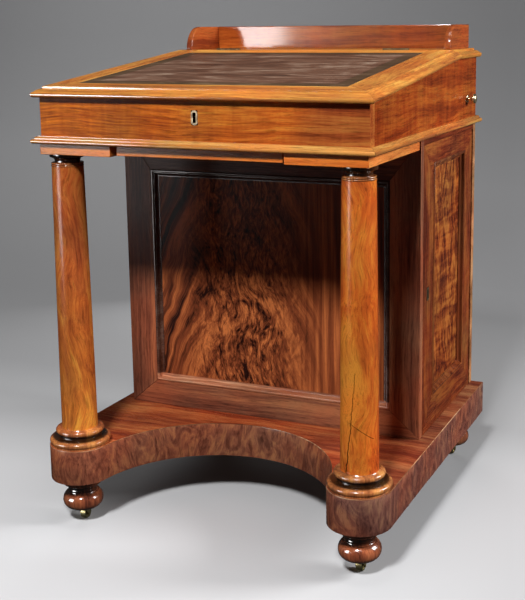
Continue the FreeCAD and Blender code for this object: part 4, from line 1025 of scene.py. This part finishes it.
def old_leather():
    """Dark leather with a fine grain, scuffed in pale patches, with a blind-tooled olive border."""
    material, tree, place = blank_material("old_leather")
    x, y, z = apart(place)
    scuff = noise(place * (0.5, 2.3, 1.0), 15.0, 9.0, 0.72, 1.2)
    scratch = noise(place * (10.0, 130.0, 1.0), 1.0, 4.0, 0.6, 0.4)
    grain = flow(tree, "ShaderNodeTexVoronoi", {"Vector": place, "Scale": 700.0}, "Distance")
    mixed = (scratch - 0.5) * 0.16 + scuff
    inward = calc("MINIMUM", leather_high.x - abs(x), calc("MINIMUM", y - leather_low.y, leather_high.y - y))
    border = spread(scratch * 0.003 + inward, 0.025, 0.029, 1.0, 0.0)
    field = ramp(mixed, ((0.36, (0.058, 0.026, 0.016)), (0.52, (0.145, 0.067, 0.04)), (0.7, (0.36, 0.26, 0.19))))
    olive = ramp(mixed, ((0.36, (0.045, 0.025, 0.012)), (0.55, (0.095, 0.052, 0.026)), (0.7, (0.2, 0.13, 0.075))))
    tooling = [abs(inward - at) < 0.0005 for at in (0.005, 0.0255, 0.028)]
    lines = calc("MAXIMUM", calc("MAXIMUM", tooling[0], tooling[1]), tooling[2])
    rough = spread(scuff, 0.35, 0.65, 0.3, 0.5)
    bump = flow(tree, "ShaderNodeBump", {"Strength": 0.35, "Distance": 0.0003,
                                         "Height": scuff * 2.0 + grain - lines * 2.0})
    shader(tree, {"Base Color": blend(field, olive, border) * (1.0 - lines * 0.5), "Roughness": rough,
                  "Normal": bump, "Specular IOR Level": 0.3})
    return material


repaint(old_leather(), "writing_leather")
dull_brass = brass("dull_brass", (0.24, 0.15, 0.065), (0.1, 0.06, 0.028), worn=0.42, rough=0.42)
repaint(dull_brass, "lid_hinge_leaves", "strip_hinge_leaves", "lid_lock_strike")


# ---------------- locks and keyhole plates
# Each keyhole has an oval brass plate let in flush. Behind it is a box lock of iron and brass.

plate_brass = brass("plate_brass", (0.23, 0.185, 0.12), (0.1, 0.07, 0.04), worn=0.48, rough=0.38)
repaint(plate_brass, "desk_escutcheon", "door_escutcheon")
lock_metal = brass("lock_metal", (0.36, 0.34, 0.3), (0.14, 0.12, 0.1), worn=0.52, rough=0.4)
repaint(lock_metal, "desk_lock", "desk_lock_bolt", "door_lock", "door_lock_bolt")


# ---------------- pen drawer
# A narrow drawer in the right side of the box with a turned brass knob. Its front is veneered to match.

repaint(case_side_wood, "pen_drawer")
bright_brass = brass("bright_brass", (0.8, 0.66, 0.42), (0.36, 0.26, 0.13), worn=0.55, rough=0.24)
knob_low, knob_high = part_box("pen_drawer_knob")
knob_middle = (knob_low + knob_high) / 2
knob_outline = rounded([
    (0.0, -0.01), (0.004, -0.01), (0.004, 0.0), (0.0074, 0.0), (0.0078, 0.0012, 0.007, 0.0012),
    (0.0062, 0.0024), (0.0042, 0.0036), (0.0036, 0.007), (0.0046, 0.0096), (0.0092, 0.0125, 0.0062, 0.0135),
    (0.0072, 0.0172, 0.005, 0.0132), (0.0, 0.019)], 6)
knob = turned("pen_drawer_knob", knob_outline, [(0, 0, 0)], bright_brass, 48,
              Matrix.Translation((half_case, knob_middle.y, knob_middle.z)) @ lying)
fitted(knob, "pen_drawer", "old_brass", "pen_drawer_knob")


# ---------------- room: floor, lights and camera
# A pale floor that sweeps up into a grey backdrop. The key lamp stands high in front, with a weaker one
# overhead and one at the right. A card at the left shows only in the polish, and two small lamps light the
# gallery and the backdrop.

far_y, curve, room_half, wall_top = 1.2, 1.6, 9.0, 7.0
profile = [(-room_half, 0.0), (far_y, 0.0)]
for i in range(1, 11):
    turn = math.radians(9 * i)
    profile.append((far_y + curve * math.sin(turn), curve - curve * math.cos(turn)))
profile.append((far_y + curve, wall_top))
bm = bmesh.new()
rows = [[bm.verts.new((x, y, z)) for x in (-room_half, room_half)] for y, z in profile]
for low, high in zip(rows, rows[1:]):
    bm.faces.new((low[0], low[1], high[1], high[0]))
sweep_mesh = bpy.data.meshes.new("sweep")
bm.to_mesh(sweep_mesh)
bm.free()
sweep_mesh.shade_smooth()
backdrop, tree, place = blank_material("backdrop")
x, y, z = apart(place)
# The floor's greys are painted light: brightest near the desk, falling off towards the wall, and raised on the right
# where the desk's shadow falls.
left_greys_painted_light = ((0.0, 0.64), (0.05, 0.67), (0.1, 0.63), (0.15, 0.52), (0.217, 0.345), (0.293, 0.27), (0.39, 0.25),
              (0.63, 0.242), (0.86, 0.255), (1.0, 0.215))
right_greys_painted_light = ((0.0, 0.47), (0.12, 0.45), (0.22, 0.41), (0.28, 0.33), (0.36, 0.315), (0.45, 0.3), (0.54, 0.28),
               (0.65, 0.2), (0.83, 0.205), (1.0, 0.16))
left_side, right_side = (ramp(spread(y, -0.4, 2.6), [(stop, (grey, grey, grey * 1.02)) for stop, grey in greys])
                         for greys in (left_greys_painted_light, right_greys_painted_light))
depth = calc("MAXIMUM", y, -1.0)
across = spread((depth * 0.78 + x + 0.55) / (depth * 0.54 + 1.0), 0.0, 1.0)
shader(tree, {"Base Color": blend(left_side, right_side, across * across), "Roughness": 0.8,
              "Specular IOR Level": 0.1})
sweep = new_object("sweep", sweep_mesh, backdrop)
sweep.visible_diffuse = sweep.visible_glossy = False


def lamp(name, place, aim, width, height, power, diffuse=True, glossy=True):
    """A soft lamp aimed at a place. The camera never sees it, and some lamps show only in the polish."""
    light = bpy.data.lights.new(name, "AREA")
    light.shape = "RECTANGLE"
    light.size, light.size_y, light.energy = width, height, power
    made = bpy.data.objects.new(name, light)
    made.location = place
    made.rotation_euler = (Vector(aim) - Vector(place)).to_track_quat("-Z", "Y").to_euler()
    made.visible_camera, made.visible_diffuse, made.visible_glossy = False, diffuse, glossy
    bpy.context.scene.collection.objects.link(made)


lamp("key", (0.4, -2.68, 3.16), (0.0, -0.1, 0.5), 0.55, 0.45, 146)
lamp("overhead", (0.1, -0.3, 3.0), (0.0, -0.1, 0.4), 0.7, 0.7, 15)
lamp("right", (2.3, 0.75, 1.35), (0.2, 0.0, 0.45), 0.9, 0.9, 74)
lamp("left_card", (-1.72, -1.9, 0.58), (-1.72, 0.0, 0.58), 1.24, 0.96, 82, diffuse=False)
lamp("rear", (-0.9, 1.45, 0.55), (-0.1, 0.3, 0.95), 0.5, 0.5, 9, glossy=False)
lamp("backdrop", (-1.7, 1.3, 2.3), (-2.1, 2.8, 0.9), 1.6, 0.5, 24)
world = bpy.data.worlds.new("room")
world.use_nodes = True
world.node_tree.nodes["Background"].inputs["Color"].default_value = (1.0, 0.98, 0.95, 1)
world.node_tree.nodes["Background"].inputs["Strength"].default_value = 0.036
bpy.context.scene.world = world
bpy.context.scene.view_settings.view_transform = "Standard"

frame_width, frame_height = 525, 600
focal_pixels, centre_x, centre_y = 1111.738, 305.0, 220.0
yaw, pitch, roll = 0.40489, -0.17498, -0.01038
ahead = Vector((-math.sin(yaw) * math.cos(pitch), math.cos(yaw) * math.cos(pitch), math.sin(pitch)))
right = ahead.cross(Vector((0, 0, 1))).normalized()
above = right.cross(ahead)
tilted_right = right * math.cos(roll) + above * math.sin(roll)
tilted_above = above * math.cos(roll) - right * math.sin(roll)
camera = bpy.data.cameras.new("camera")
camera.sensor_width = 36.0
camera.lens = focal_pixels / frame_height * camera.sensor_width
camera.shift_x = (frame_width / 2 - centre_x) / frame_height
camera.shift_y = (centre_y - frame_height / 2) / frame_height
eye = bpy.data.objects.new("camera", camera)
eye.matrix_world = Matrix((tilted_right, tilted_above, -ahead)).transposed().to_4x4()
eye.location = (0.8431, -1.82565, 0.86981)
bpy.context.scene.collection.objects.link(eye)
bpy.context.scene.camera = eye
